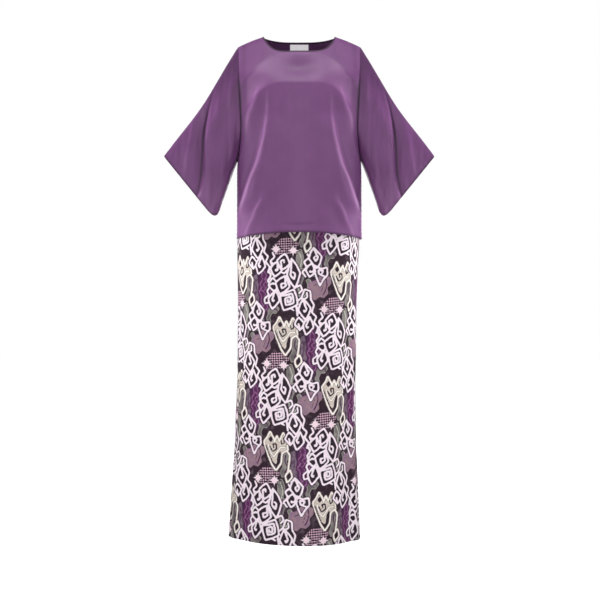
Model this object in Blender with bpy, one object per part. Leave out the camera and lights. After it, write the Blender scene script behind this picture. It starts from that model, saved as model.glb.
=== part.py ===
"""Baju kurung set: a loose slip-on blouse (baju) with wide elbow sleeves, over a long batik skirt (kain).

Every piece is a wall of cloth in the shape that it takes when the set is worn, with its seams 0.3 mm
apart. Metres, +Z up, front towards -Y. The origin lies midway between the two points where the
shoulder seams meet the neckline, which is where the wearer carries the blouse.
"""

import math
from collections import namedtuple

import bmesh
import bpy
import numpy as np

# ---- Driving sizes, in metres -------------------------------------------------------------------
CLOTH = 0.0016  # thickness of every cloth wall
BAND = 0.003  # thickness of the skirt's elastic waistband
SEAM_GAP = 0.0003  # between two sewn pieces
BOXINESS = 0.85  # 1 gives elliptical rings; less squares them a little

# Blouse: heights are measured down from the neck points.
HEM_Z = -0.547  # hem at the side seams
FRONT_HEM_RISE = 0.014  # the hem curves up by this at centre front
BACK_HEM_RISE = 0.004
UNDERARM_Z = -0.333
CHEST_Z = {"front": -0.150, "back": -0.170}  # above these the cloth rounds over to the shoulder
SHOULDER_FLATNESS = 0.40  # flattens the slope between chest and shoulder
NECK_HALF = 0.101  # neck point to centre
NECK_DROP = {"front": 0.051, "back": 0.010}
NECK_ROUNDNESS = {"front": 5.0, "back": 3.3}  # higher gives a flatter bottom and tighter corners
SHOULDER_RISE = 0.0155  # height of the shoulder line's crown, carried on over the neck opening
SHOULDER_SLOPE = 2 * SHOULDER_RISE / NECK_HALF  # so that the crown and the seam share a tangent
SHOULDER_CURVE = 1.6  # the seam steepens towards the sleeve, per metre

BodySection = namedtuple("BodySection", "height half_width front back")
BODY_SECTIONS = (
    BodySection(-0.555, 0.1690, 0.126, 0.122),
    BodySection(-0.450, 0.1690, 0.131, 0.115),
    BodySection(-0.370, 0.1688, 0.134, 0.109),
    BodySection(-0.333, 0.1675, 0.135, 0.107),
    BodySection(-0.215, 0.1675, 0.136, 0.105),
)
# The armhole, from the underarm (0) to the shoulder tip (1): how far out the edge lies, and the
# direction that the body's surface faces there, in degrees from centre front or back.
ArmholePoint = namedtuple("ArmholePoint", "way half_width turn")
ARMHOLE = (
    ArmholePoint(0.00, 0.1675, 90.0),
    ArmholePoint(0.12, 0.1610, 74.0),
    ArmholePoint(0.30, 0.1560, 62.0),
    ArmholePoint(0.50, 0.1590, 56.0),
    ArmholePoint(0.75, 0.1630, 49.0),
    ArmholePoint(1.00, 0.1660, 44.0),
)

# Sleeve, seen from the front: the hem runs from the outer corner down to the inner one.
CUFF_OUTER = (0.3690, -0.3205)
CUFF_INNER = (0.2320, -0.4930)
CUFF_CORNER = 0.016  # rounding of the inner corner
CUFF_DEPTH = {"front": 0.038, "back": 0.034}  # half the cuff's opening, front to back
UPPER_EDGE_HOLLOW = 0.0085  # the upper edge dips in by this near the elbow
ELBOW_WAY = 0.54

# Soft folds, each a ridge (+) or trough (-) that runs down the cloth. Height and width are in metres.
Fold = namedtuple("Fold", "side height half_width route")
BODY_FOLDS = (
    # the long drape from the chest to the side hem, its echo by the hem, and the pull to the underarm
    Fold("front", 0.0090, 0.013, ((-0.190, 0.085), (-0.270, 0.100), (-0.350, 0.124), (-0.430, 0.146), (-0.510, 0.162))),
    Fold("front", 0.0055, 0.012, ((-0.425, 0.108), (-0.480, 0.127), (-0.530, 0.148))),
    Fold("front", 0.0050, 0.012, ((-0.170, 0.137), (-0.230, 0.140), (-0.290, 0.143), (-0.330, 0.153))),
    Fold("front", -0.0050, 0.015, ((-0.240, 0.118), (-0.330, 0.140), (-0.420, 0.160))),
    Fold("back", 0.0070, 0.015, ((-0.200, 0.075), (-0.300, 0.092), (-0.400, 0.112), (-0.500, 0.134))),
    Fold("back", 0.0045, 0.014, ((-0.180, 0.132), (-0.260, 0.137), (-0.330, 0.147))),
    Fold("back", -0.0045, 0.017, ((-0.250, 0.040), (-0.380, 0.050), (-0.520, 0.060))),
)
SLEEVE_FOLDS = (
    # the deep fold that hangs from the elbow, the softer ones each side, and the ridge by the armhole
    Fold("front", -0.013, 0.014, ((-0.150, 0.233), (-0.200, 0.246), (-0.285, 0.259), (-0.370, 0.264), (-0.440, 0.279))),
    Fold("front", 0.006, 0.013, ((-0.150, 0.207), (-0.280, 0.232), (-0.400, 0.240), (-0.460, 0.243))),
    Fold("front", 0.006, 0.015, ((-0.220, 0.277), (-0.300, 0.291), (-0.380, 0.303))),
    Fold("front", 0.007, 0.011, ((-0.090, 0.178), (-0.200, 0.180), (-0.300, 0.178), (-0.350, 0.185))),
    Fold("back", -0.012, 0.014, ((-0.140, 0.228), (-0.220, 0.243), (-0.320, 0.252), (-0.430, 0.268))),
    Fold("back", 0.006, 0.014, ((-0.190, 0.270), (-0.290, 0.286), (-0.360, 0.300))),
    Fold("back", 0.006, 0.012, ((-0.120, 0.180), (-0.240, 0.184), (-0.340, 0.190))),
)
FOLD_FADE = 0.05  # a fold dies away over this length at each end of its route

# Neck binding and label
BINDING_WIDTH = 0.0045
BINDING_PROUD = 0.0004  # how far the binding stands out from the cloth on each face
LABEL_WIDTH, LABEL_DROP, LABEL_THICK = 0.050, 0.021, 0.0008
LABEL_CLEARANCE = 0.0005
LABEL_TOP = 0.0015  # below the neck edge

# Skirt: down runs from 0 at the waist to 1 at the hem, and shift is how far a ring hangs towards -X.
SkirtSection = namedtuple("SkirtSection", "down half_width front back shift")
SKIRT_SECTIONS = (
    SkirtSection(0.000, 0.1240, 0.096, 0.088, 0.0000),
    SkirtSection(0.055, 0.1430, 0.104, 0.097, 0.0005),
    SkirtSection(0.115, 0.1600, 0.109, 0.105, 0.0015),
    SkirtSection(0.165, 0.1656, 0.111, 0.110, 0.0026),
    SkirtSection(0.345, 0.1612, 0.112, 0.114, 0.0055),
    SkirtSection(0.530, 0.1605, 0.114, 0.116, 0.0075),
    SkirtSection(0.715, 0.1645, 0.117, 0.119, 0.0105),
    SkirtSection(0.850, 0.1710, 0.122, 0.124, 0.0115),
    SkirtSection(1.000, 0.1785, 0.130, 0.131, 0.0130),
)
WAIST_Z = -0.387
SKIRT_HEM_Z = -1.3515  # mean of the two side seams
SKIRT_HEM_TILT = 0.0040  # the hem hangs this much lower at the +X side and higher at the other
SKIRT_HEM_DIP = {"front": 0.0085, "back": 0.0050}  # and this much lower at centre front and back
WAISTBAND_HEIGHT = 0.035
WAISTBAND_TAPER = 0.0025  # the band is this much smaller, all round, at its upper edge
# Soft vertical folds of the skirt, placed by their angle from centre front or back, in degrees.
SkirtFold = namedtuple("SkirtFold", "side angle height half_angle top swing")
SKIRT_FOLDS = (
    SkirtFold("front", 60.0, -0.0060, 10.0, 0.18, -5.0),
    SkirtFold("front", 77.0, 0.0045, 9.0, 0.22, -3.0),
    SkirtFold("front", 20.0, 0.0035, 14.0, 0.48, 4.0),
    SkirtFold("front", -68.0, 0.0050, 11.0, 0.43, -4.0),
    SkirtFold("front", -46.0, -0.0040, 12.0, 0.58, -3.0),
    SkirtFold("back", 0.0, -0.0065, 12.0, 0.20, 3.0),
    SkirtFold("back", 36.0, 0.0055, 12.0, 0.28, -5.0),
    SkirtFold("back", -33.0, 0.0055, 12.0, 0.32, 4.0),
    SkirtFold("back", 66.0, -0.0050, 10.0, 0.38, -3.0),
    SkirtFold("back", -62.0, -0.0050, 11.0, 0.48, 4.0),
)

# How finely the walls are divided
BODY_ROWS = 9  # hem to underarm
ARMHOLE_ROWS = 14  # underarm to shoulder, and half the points of a sleeve's ring
NECK_COLUMNS = {"front": 16, "back": 12}
SHOULDER_COLUMNS = 7
SLEEVE_RINGS = 26
SKIRT_ROWS, SKIRT_COLUMNS = 16, 28
WAISTBAND_ROWS = 2

SIDE_SIGN = {"front": -1.0, "back": 1.0}
QUARTER_TURN = math.pi / 2
NUDGE = 1e-4  # step for working out a surface's normal

Look = namedtuple("Look", "colour roughness")
PLUM_CREPE = Look((0.205, 0.088, 0.212), 0.45)
PLUM_BINDING = Look((0.050, 0.012, 0.052), 0.55)
BATIK_GROUND = Look((0.120, 0.070, 0.105), 0.65)
WAISTBAND_CLOTH = Look((0.052, 0.028, 0.046), 0.70)
LABEL_WHITE = Look((0.740, 0.720, 0.725), 0.60)


# ---- Small helpers ------------------------------------------------------------------------------
def smooth(places, values, at, flat_start=False):
    """Monotone cubic through a table's values, so that a section never swells past its neighbours."""
    places, values = np.asarray(places, float), np.asarray(values, float)
    if places[0] > places[-1]:
        places, values = places[::-1], values[::-1]
    gaps = np.diff(places)
    slopes = np.diff(values) / gaps
    same_way = slopes[:-1] * slopes[1:] > 0
    total = np.where(same_way, slopes[:-1] + slopes[1:], 1.0)
    inner = np.where(same_way, 2 * slopes[:-1] * slopes[1:] / total, 0.0)
    tangents = np.concatenate([slopes[:1] * (not flat_start), inner, slopes[-1:]])
    at = np.clip(at, places[0], places[-1])
    i = np.clip(np.searchsorted(places, at) - 1, 0, len(gaps) - 1)
    t = (at - places[i]) / gaps[i]
    return (
        values[i] * (1 + 2 * t) * (1 - t) ** 2
        + values[i + 1] * t * t * (3 - 2 * t)
        + gaps[i] * t * (1 - t) * (tangents[i] * (1 - t) - tangents[i + 1] * t)
    )


def column(table, name):
    return [getattr(row, name) for row in table]


def unit(vectors):
    return vectors / np.maximum(np.linalg.norm(vectors, axis=-1, keepdims=True), 1e-12)


def ease(t):
    t = np.clip(t, 0.0, 1.0)
    return t * t * (3 - 2 * t)


def boxed(cosine):
    """Depth of a ring at an angle's cosine: a little squarer than an ellipse."""
    return np.abs(cosine) ** BOXINESS


def normals_of(surface, u, v, u_range, v_range):
    """Unit normals of surface(u, v), from small steps that stay inside its ranges."""
    u0, u1 = np.maximum(u - NUDGE, u_range[0]), np.minimum(u + NUDGE, u_range[1])
    v0, v1 = np.maximum(v - NUDGE, v_range[0]), np.minimum(v + NUDGE, v_range[1])
    across = surface(u1, v) - surface(u0, v)
    along = surface(u, v1) - surface(u, v0)
    return unit(np.cross(unit(across), unit(along)))


def fold_relief(folds, side, x, z):
    """Height of the folds of one side at a place seen from the front. Both halves have the same folds."""
    relief = np.zeros(np.broadcast(x, z).shape)
    for fold in folds:
        if fold.side != side:
            continue
        heights, places = zip(*fold.route)
        middle = smooth(heights, places, z)
        ends = ease((heights[0] - z) / FOLD_FADE + 0.5) * ease((z - heights[-1]) / FOLD_FADE + 0.5)
        relief += fold.height * ends * np.exp(-(((np.abs(x) - middle) / fold.half_width) ** 2))
    return relief


# ---- Blouse body --------------------------------------------------------------------------------
def shoulder_height(x):
    """The shoulder seam's line, carried on as a crown over the neck opening."""
    out = np.maximum(np.abs(x) - NECK_HALF, 0.0)
    crown = SHOULDER_RISE * (1 - np.minimum(np.abs(x) / NECK_HALF, 1.0) ** 2)
    return crown - SHOULDER_SLOPE * out - SHOULDER_CURVE * out**2


def neckline_height(side, x):
    return -NECK_DROP[side] * (1 - (np.abs(x) / NECK_HALF) ** NECK_ROUNDNESS[side])


def chest_share(side):
    """Share of the climb from underarm to shoulder that comes before the cloth rounds over."""
    upright = CHEST_Z[side] - UNDERARM_Z
    depth = getattr(BODY_SECTIONS[-1], side)
    arc = QUARTER_TURN * math.sqrt((CHEST_Z[side] ** 2 + depth**2) / 2)
    return upright / (upright + arc)


def plain_body(side, across, up):
    """The body without its folds, carried on over the neck opening. across runs from -1 to 1 between
    the side edges; up is 0 at the hem, 1 at the underarm and 2 at the shoulder line."""
    across, up = np.broadcast_arrays(np.asarray(across, float), np.asarray(up, float))
    chest, share = CHEST_Z[side], chest_share(side)

    # below the underarm: upright rings
    below = np.minimum(up, 1.0)
    hem_rise = FRONT_HEM_RISE if side == "front" else BACK_HEM_RISE
    hem = HEM_Z + hem_rise * np.cos(across * QUARTER_TURN) ** 2
    z_below = hem + (UNDERARM_Z - hem) * below

    # above it: the edge follows the armhole, and the cloth rounds over to the shoulder
    way = np.maximum(up - 1.0, 0.0)
    ways = column(ARMHOLE, "way")
    turn = np.radians(smooth(ways, column(ARMHOLE, "turn"), way))
    width = smooth(ways, column(ARMHOLE, "half_width"), way, flat_start=True) / np.sin(turn)
    edge_share = ease(np.abs(across)) ** 2
    climb = way**1.3 * edge_share + way * (1 - edge_share)
    z_upright = UNDERARM_Z + (chest - UNDERARM_Z) * np.minimum(climb / share, 1.0)
    over = np.clip((climb - share) / (1 - share), 0.0, 1.0) * QUARTER_TURN
    power = 1 + SHOULDER_FLATNESS * np.sin(2 * over) ** 2

    is_below = up <= 1.0
    heights = column(BODY_SECTIONS, "height")
    z_ring = np.where(is_below, z_below, z_upright)
    width = np.where(is_below, smooth(heights, column(BODY_SECTIONS, "half_width"), z_ring), width)
    turn = np.where(is_below, QUARTER_TURN, turn) * across
    depth = smooth(heights, column(BODY_SECTIONS, side), z_ring)
    x = width * np.sin(turn)
    z = np.where(is_below, z_below, z_upright + (shoulder_height(x) - chest) * np.sin(over) ** power)
    y = SIDE_SIGN[side] * (depth * boxed(np.cos(turn)) * np.cos(over) ** power + SEAM_GAP / 2)
    return np.stack([x, y, z], axis=-1)


def body(side, across, up):
    """The outer face of the blouse's front or back, with its folds. They fade out at the seams."""
    base = plain_body(side, across, up)
    normal = body_normals(plain_body, side, across, up)
    inner = (1 - np.abs(across) ** 10) * ease((2.0 - up) / 0.25)
    relief = fold_relief(BODY_FOLDS, side, base[..., 0], base[..., 2]) * inner
    return base + relief[..., None] * normal


def body_normals(surface, side, across, up):
    across, up = np.broadcast_arrays(np.asarray(across, float), np.asarray(up, float))
    out = normals_of(lambda u, v: surface(side, u, v), across, up, (-1.0, 1.0), (0.0, 2.0))
    return out * -SIDE_SIGN[side]


def neck_share(side, across):
    """How far between underarm and shoulder line each column of the panel ends: short of 1 where the
    neckline cuts it."""
    inside = np.abs(plain_body(side, across, 2.0)[..., 0]) < NECK_HALF - 1e-9
    low, high = np.full(np.shape(across), 0.3), np.ones(np.shape(across))
    for _ in range(40):
        middle = (low + high) / 2
        place = plain_body(side, across, 1 + middle)
        too_high = place[..., 2] > neckline_height(side, place[..., 0])
        low, high = np.where(too_high, low, middle), np.where(too_high, middle, high)
    return np.where(inside, high, 1.0)


def body_columns(side):
    """Values of across: even steps along each shoulder seam, and even turns round the neckline."""
    top_turn = math.radians(ARMHOLE[-1].turn)
    full = ARMHOLE[-1].half_width / math.sin(top_turn)
    neck = NECK_HALF * np.sin(np.linspace(-1, 1, NECK_COLUMNS[side] + 1) * QUARTER_TURN)
    neck = np.arcsin(neck / full) / top_turn
    shoulder = np.linspace(neck[-1], 1.0, SHOULDER_COLUMNS + 1)[1:]
    return np.concatenate([-shoulder[::-1], neck, shoulder])


def body_grid(side):
    """Outer points and normals of a body panel, a row for each height and a column for each across."""
    below = np.linspace(0, 1, BODY_ROWS + 1)[:-1, None]
    above = np.linspace(0, 1, ARMHOLE_ROWS + 1)[:, None]
    across = body_columns(side)
    above = above * (1 - (1 - neck_share(side, across)) * above)
    up = np.concatenate([below + 0 * across, 1 + above])
    across = np.broadcast_to(across, up.shape)
    points, normals = body(side, across, up), body_normals(body, side, across, up)
    # both panels stand square to the shoulder seam, so that the two walls meet edge to edge
    x = points[-1, :, 0]
    out = np.abs(x) - NECK_HALF
    slope = np.sign(x) * (SHOULDER_SLOPE + 2 * SHOULDER_CURVE * np.maximum(out, 0.0))
    square = unit(np.stack([slope, np.zeros(len(x)), np.ones(len(x))], axis=-1))
    normals[-1] = np.where((out > -1e-6)[:, None], square, normals[-1])
    return points, normals


# ---- Sleeve -------------------------------------------------------------------------------------
def armhole_ring(grids):
    """The +X armhole as a ring, from the underarm up the front to the shoulder and down the back."""
    front, back = (grids[side][0][BODY_ROWS:, -1] for side in ("front", "back"))
    front_normals, back_normals = (grids[side][1][BODY_ROWS:, -1] for side in ("front", "back"))
    ring = np.concatenate([front, back[-2:0:-1]])
    normals = np.concatenate([front_normals, back_normals[-2:0:-1]])
    ring[[0, ARMHOLE_ROWS], 1] = 0.0
    return ring, normals


def cuff_ring(down):
    """The sleeve's hem, at each point's share of the way down it from the outer to the inner corner."""
    outer, inner = np.array(CUFF_OUTER), np.array(CUFF_INNER)
    along = unit(inner - outer)
    outward = np.array([-along[1], along[0]])
    outward = outward if outward[1] < 0 else -outward
    corner = CUFF_CORNER * np.clip((down - 0.86) / 0.14, 0.0, 1.0) ** 2
    place = outer + (inner - outer) * down[:, None] - outward * corner[:, None]
    depth = 2 * np.sqrt(np.clip(down * (1 - down), 0.0, 1.0))
    on_front = np.arange(len(down)) <= ARMHOLE_ROWS
    y = np.where(on_front, -CUFF_DEPTH["front"], CUFF_DEPTH["back"]) * depth
    return np.stack([place[:, 0], y, place[:, 1]], axis=-1)


def grid_normals(grid):
    """Normals of a grid of closed rings, pointing away from the rings' middles."""
    along = np.gradient(grid, axis=0)
    around = np.roll(grid, -1, axis=1) - np.roll(grid, 1, axis=1)
    normals = unit(np.cross(around, along))
    outward = grid - grid.mean(axis=1, keepdims=True)
    return normals if (normals * outward).sum() > 0 else -normals


def sleeve_grid(grids):
    """Outer points of the +X sleeve, a row for each ring from armhole to cuff, with its seam's normals."""
    ring, body_side_normals = armhole_ring(grids)
    down = (ring[ARMHOLE_ROWS, 2] - ring[:, 2]) / (ring[ARMHOLE_ROWS, 2] - ring[0, 2])
    cuff = cuff_ring(down)
    out = np.linspace(0, 1, SLEEVE_RINGS + 1)[:, None]
    grid = ring + (cuff - ring) * out[..., None]

    # the upper edge dips in near the elbow, less and less further down the sleeve
    upper = unit(cuff[ARMHOLE_ROWS] - ring[ARMHOLE_ROWS])
    inward = np.array([upper[2], 0.0, -upper[0]])
    hollow = np.where(out < ELBOW_WAY, ease(out / ELBOW_WAY), ease((1 - out) / (1 - ELBOW_WAY)))
    grid = grid + (UPPER_EDGE_HOLLOW * hollow * (1 - down) ** 2)[..., None] * inward

    # folds move the front and back faces, and fade at the armhole and along the sleeve's two edges
    half_depth = np.abs(grid[..., 1])
    for side, sign in SIDE_SIGN.items():
        here = grid[..., 1] * sign > 0
        relief = fold_relief(SLEEVE_FOLDS, side, grid[..., 0], grid[..., 2])
        relief *= ease(out / 0.08) * ease(half_depth / 0.022)
        grid[..., 1] += np.where(here, sign * relief, 0.0)

    # Where it is sewn to the body, both walls share one mitred direction, so that they stay parallel.
    # Near the underarm, where the two fold back on each other, each keeps its own.
    normals = grid_normals(grid)
    agreement = (body_side_normals * normals[0]).sum(axis=-1, keepdims=True)
    mitre = unit(body_side_normals + normals[0])
    tangent = unit(np.roll(ring, -1, axis=0) - np.roll(ring, 1, axis=0))
    away = unit(np.cross(tangent, mitre))
    away *= np.sign((away * (cuff - ring)).sum(axis=-1, keepdims=True))
    grid[0] = ring + SEAM_GAP * away
    mitre = mitre / np.clip((mitre * normals[0]).sum(axis=-1, keepdims=True), 0.7, 1.0)
    sharing = ease((agreement + 0.1) / 0.5)
    body_edge = body_side_normals + (mitre - body_side_normals) * sharing
    normals[0] += (mitre - normals[0]) * sharing
    return grid, normals, body_edge


def share_armhole(grids, directions):
    """Gives both body panels the sleeve seam's directions along their armhole edges."""
    flip = np.array([-1.0, 1.0, 1.0])
    edges = {
        "front": directions[: ARMHOLE_ROWS + 1],
        "back": np.concatenate([directions[:1], directions[: ARMHOLE_ROWS - 1 : -1]]),
    }
    for side, edge in edges.items():
        normals = grids[side][1]
        normals[BODY_ROWS:, -1] = edge
        normals[BODY_ROWS:, 0] = edge * flip


# ---- Neck binding and label ---------------------------------------------------------------------
def neck_ring(grids):
    """The neck edge as a ring: outer points, wall directions and the way towards the opening."""
    front, back = grids["front"], grids["back"]
    inner = slice(SHOULDER_COLUMNS, -SHOULDER_COLUMNS)
    edge = np.concatenate([front[0][-1, inner], back[0][-1, inner][-2:0:-1]])
    normals = np.concatenate([front[1][-1, inner], back[1][-1, inner][-2:0:-1]])
    for corner in (0, NECK_COLUMNS["front"]):
        edge[corner, 1] = 0.0
    tangent = unit(np.roll(edge, -1, axis=0) - np.roll(edge, 1, axis=0))
    opening = unit(np.cross(tangent, normals))
    opening *= np.sign((opening * (edge.mean(axis=0) - edge)).sum(axis=-1, keepdims=True))
    return edge, normals, opening


def binding_points(grids):
    """Outer and inner grids of the binding: a narrow band that finishes the neck edge."""
    edge, normals, opening = neck_ring(grids)
    across = np.array([SEAM_GAP, SEAM_GAP + BINDING_WIDTH / 2, SEAM_GAP + BINDING_WIDTH])
    crown = np.array([BINDING_PROUD, 2 * BINDING_PROUD, BINDING_PROUD])
    outer = edge + opening * across[:, None, None] + normals * crown[:, None, None]
    inner = edge + opening * across[:, None, None] - normals * (CLOTH + crown)[:, None, None]
    return outer, inner


def label_points(grids):
    """The blank label lies on the inside of the back, on the panel's own facets moved inwards."""
    points, normals = grids["back"]
    inside = points - (CLOTH + LABEL_CLEARANCE) * normals
    middle = inside.shape[1] // 2
    rise = inside[::-1, middle]
    climbed = np.concatenate([[0.0], np.cumsum(np.linalg.norm(np.diff(rise, axis=0), axis=-1))])
    places = np.array([LABEL_TOP, LABEL_TOP + LABEL_DROP / 2, LABEL_TOP + LABEL_DROP])
    rows = len(climbed) - 1 - np.interp(places, climbed, np.arange(len(climbed)))
    spread = np.interp([-LABEL_WIDTH / 2, LABEL_WIDTH / 2], inside[-1, :, 0], np.arange(inside.shape[1]))
    columns = np.array([spread[0], middle, spread[1]])

    def on_facets(grid):
        low = np.floor(rows).astype(int)
        part = (rows - low)[:, None, None]
        lower = grid[low] * (1 - part) + grid[np.minimum(low + 1, len(grid) - 1)] * part
        left = np.floor(columns).astype(int)
        part = (columns - left)[None, :, None]
        return lower[:, left] * (1 - part) + lower[:, np.minimum(left + 1, grid.shape[1] - 1)] * part

    face, direction = on_facets(inside), on_facets(normals)
    return face, face - LABEL_THICK * direction


# ---- Skirt --------------------------------------------------------------------------------------
def skirt(side, across, down):
    """The skirt's outer face. across runs from -1 to 1 between the side seams."""
    across, down = np.broadcast_arrays(np.asarray(across, float), np.asarray(down, float))
    steps = column(SKIRT_SECTIONS, "down")
    turn = across * QUARTER_TURN
    relief = np.zeros(down.shape)
    for fold in SKIRT_FOLDS:
        if fold.side != side:
            continue
        drop = np.clip((down - fold.top) / (1 - fold.top), 0.0, 1.0)
        middle = fold.angle + fold.swing * drop
        place = np.exp(-(((np.degrees(turn) - middle) / fold.half_angle) ** 2))
        relief += fold.height * np.sqrt(drop) * ease(drop * 3) * place
    relief *= 1 - np.abs(across) ** 10
    depth = smooth(steps, column(SKIRT_SECTIONS, side), down) + relief
    half = smooth(steps, column(SKIRT_SECTIONS, "half_width"), down) + relief
    x = half * np.sin(turn) - smooth(steps, column(SKIRT_SECTIONS, "shift"), down)
    y = SIDE_SIGN[side] * (depth * boxed(np.cos(turn)) + SEAM_GAP / 2)
    hem = SKIRT_HEM_Z - SKIRT_HEM_TILT * np.sin(turn) - SKIRT_HEM_DIP[side] * np.cos(turn) ** 2
    return np.stack([x, y, WAIST_Z + (hem - WAIST_Z) * down], axis=-1)


def skirt_grid(side):
    rows, columns = np.linspace(0, 1, SKIRT_ROWS + 1), np.linspace(-1, 1, SKIRT_COLUMNS + 1)
    down, across = np.meshgrid(rows, columns, indexing="ij")
    normals = normals_of(lambda u, v: skirt(side, u, v), across, down, (-1.0, 1.0), (0.0, 1.0))
    return skirt(side, across, down), normals * SIDE_SIGN[side]


def waistband_points():
    """The elastic band, a ring that carries on the skirt's top edge."""
    across = np.linspace(-1, 1, SKIRT_COLUMNS + 1)
    front, back = (skirt(side, across, 0.0) for side in ("front", "back"))
    ring = np.concatenate([front, back[-2:0:-1]])
    ring[[0, SKIRT_COLUMNS], 1] = 0.0
    middle = ring.mean(axis=0)
    outward = unit((ring - middle) * np.array([1.0, 1.0, 0.0]))
    climb = np.linspace(0, 1, WAISTBAND_ROWS + 1)[:, None, None]
    lift = np.array([0.0, 0.0, SEAM_GAP]) + climb * np.array([0.0, 0.0, WAISTBAND_HEIGHT])
    outer = ring + lift - outward * climb * WAISTBAND_TAPER + outward * (BAND - CLOTH) / 2
    return outer, outer - outward * BAND


# ---- Walls --------------------------------------------------------------------------------------
def material(name, look):
    made = bpy.data.materials.new(name)
    made.use_nodes = True
    shader = made.node_tree.nodes["Principled BSDF"]
    shader.inputs["Base Color"].default_value = (*look.colour, 1.0)
    shader.inputs["Roughness"].default_value = look.roughness
    shader.inputs["Metallic"].default_value = 0.0
    return made


def cloth_wall(name, outer, inner, finish, parent, ring=False):
    """One closed wall between two grids of points. A ring's last column joins its first."""
    rows, columns = outer.shape[:2]
    mesh = bmesh.new()
    skins = [[[mesh.verts.new(p) for p in row] for row in grid] for grid in (outer, inner)]
    steps = range(columns if ring else columns - 1)
    for skin in skins:
        for i in range(rows - 1):
            for j in steps:
                k = (j + 1) % columns
                mesh.faces.new((skin[i][j], skin[i][k], skin[i + 1][k], skin[i + 1][j]))
    top, bottom = skins
    for i in (0, rows - 1):
        for j in steps:
            k = (j + 1) % columns
            mesh.faces.new((top[i][j], top[i][k], bottom[i][k], bottom[i][j]))
    if not ring:
        for j in (0, columns - 1):
            for i in range(rows - 1):
                mesh.faces.new((top[i][j], top[i + 1][j], bottom[i + 1][j], bottom[i][j]))
    bmesh.ops.recalc_face_normals(mesh, faces=mesh.faces)
    data = bpy.data.meshes.new(name)
    mesh.to_mesh(data)
    mesh.free()
    data.shade_smooth()
    data.set_sharp_from_angle(angle=math.radians(50))
    data.materials.append(finish)
    made = bpy.data.objects.new(name, data)
    made.parent = parent
    parent.users_collection[0].objects.link(made)
    return made


def mirrored(grid):
    return grid * np.array([-1.0, 1.0, 1.0])


def build():
    for old in list(bpy.data.objects):
        bpy.data.objects.remove(old)
    collection = bpy.data.collections.new("baju_kurung")
    bpy.context.scene.collection.children.link(collection)
    baju = bpy.data.objects.new("baju", None)
    kain = bpy.data.objects.new("kain", None)
    for empty in (baju, kain):
        collection.objects.link(empty)

    crepe = material("plum_crepe", PLUM_CREPE)
    grids = {side: body_grid(side) for side in ("front", "back")}
    sleeve, sleeve_normals, armhole_edge = sleeve_grid(grids)
    share_armhole(grids, armhole_edge)
    for side, (points, normals) in grids.items():
        cloth_wall(f"baju_{side}", points, points - CLOTH * normals, crepe, baju)
    inside = sleeve - CLOTH * sleeve_normals
    cloth_wall("baju_sleeve_left", sleeve, inside, crepe, baju, ring=True)
    cloth_wall("baju_sleeve_right", mirrored(sleeve), mirrored(inside), crepe, baju, ring=True)
    binding = material("plum_binding", PLUM_BINDING)
    cloth_wall("baju_neck_binding", *binding_points(grids), binding, baju, ring=True)
    cloth_wall("baju_neck_label", *label_points(grids), material("label_white", LABEL_WHITE), baju)

    batik = material("batik", BATIK_GROUND)
    for side in ("front", "back"):
        points, normals = skirt_grid(side)
        cloth_wall(f"kain_{side}", points, points - CLOTH * normals, batik, kain)
    elastic = material("waistband_cloth", WAISTBAND_CLOTH)
    cloth_wall("kain_waistband", *waistband_points(), elastic, kain, ring=True)


build()
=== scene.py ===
"""A baju kurung set: a loose satin-crepe blouse (baju) with wide elbow sleeves, over a long batik skirt
(kain), each piece a thin shell of cloth on the form of its solid. Metres, +Z up, front towards -Y.
"""

import math
from collections import namedtuple

import bpy
import numpy as np
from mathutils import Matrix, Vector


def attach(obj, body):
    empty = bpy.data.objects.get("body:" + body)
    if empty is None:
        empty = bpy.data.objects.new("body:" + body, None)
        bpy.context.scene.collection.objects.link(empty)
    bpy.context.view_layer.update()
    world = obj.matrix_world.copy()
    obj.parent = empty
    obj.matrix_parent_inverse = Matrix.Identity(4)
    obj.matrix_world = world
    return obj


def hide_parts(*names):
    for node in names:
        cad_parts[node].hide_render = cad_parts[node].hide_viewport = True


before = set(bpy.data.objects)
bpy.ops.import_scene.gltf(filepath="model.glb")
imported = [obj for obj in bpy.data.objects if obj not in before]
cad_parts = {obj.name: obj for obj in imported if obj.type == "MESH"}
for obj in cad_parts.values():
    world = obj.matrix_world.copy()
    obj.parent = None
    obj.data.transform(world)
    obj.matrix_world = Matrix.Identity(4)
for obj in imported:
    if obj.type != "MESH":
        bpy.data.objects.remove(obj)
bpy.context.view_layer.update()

# ==== Studio =====================================================================================
# A pale seamless floor lies just under the skirt's hem. Large soft lights stand above, in front and
# behind, and weaker ones low in front and on both sides. None of it is part of the set.
FLOOR_Z = -1.42
FLOOR_RADIUS = 14.0
FLOOR_SIDES = 96
FLOOR_TONES = (0.88, 0.88, 0.88, 1.0), (0.92, 0.92, 0.92, 1.0)
FLOOR_GLOW = 0.93
WHITE = (1.0, 1.0, 1.0, 1.0)
ROOM_LIGHT = {"color": (1.0, 0.985, 0.99, 1.0), "strength": 0.14}
CAMERA_PLACE = (0.002, -4.2, -0.712)
CAMERA_LENS = 92.75
CAMERA_SENSOR = 36.0

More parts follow.
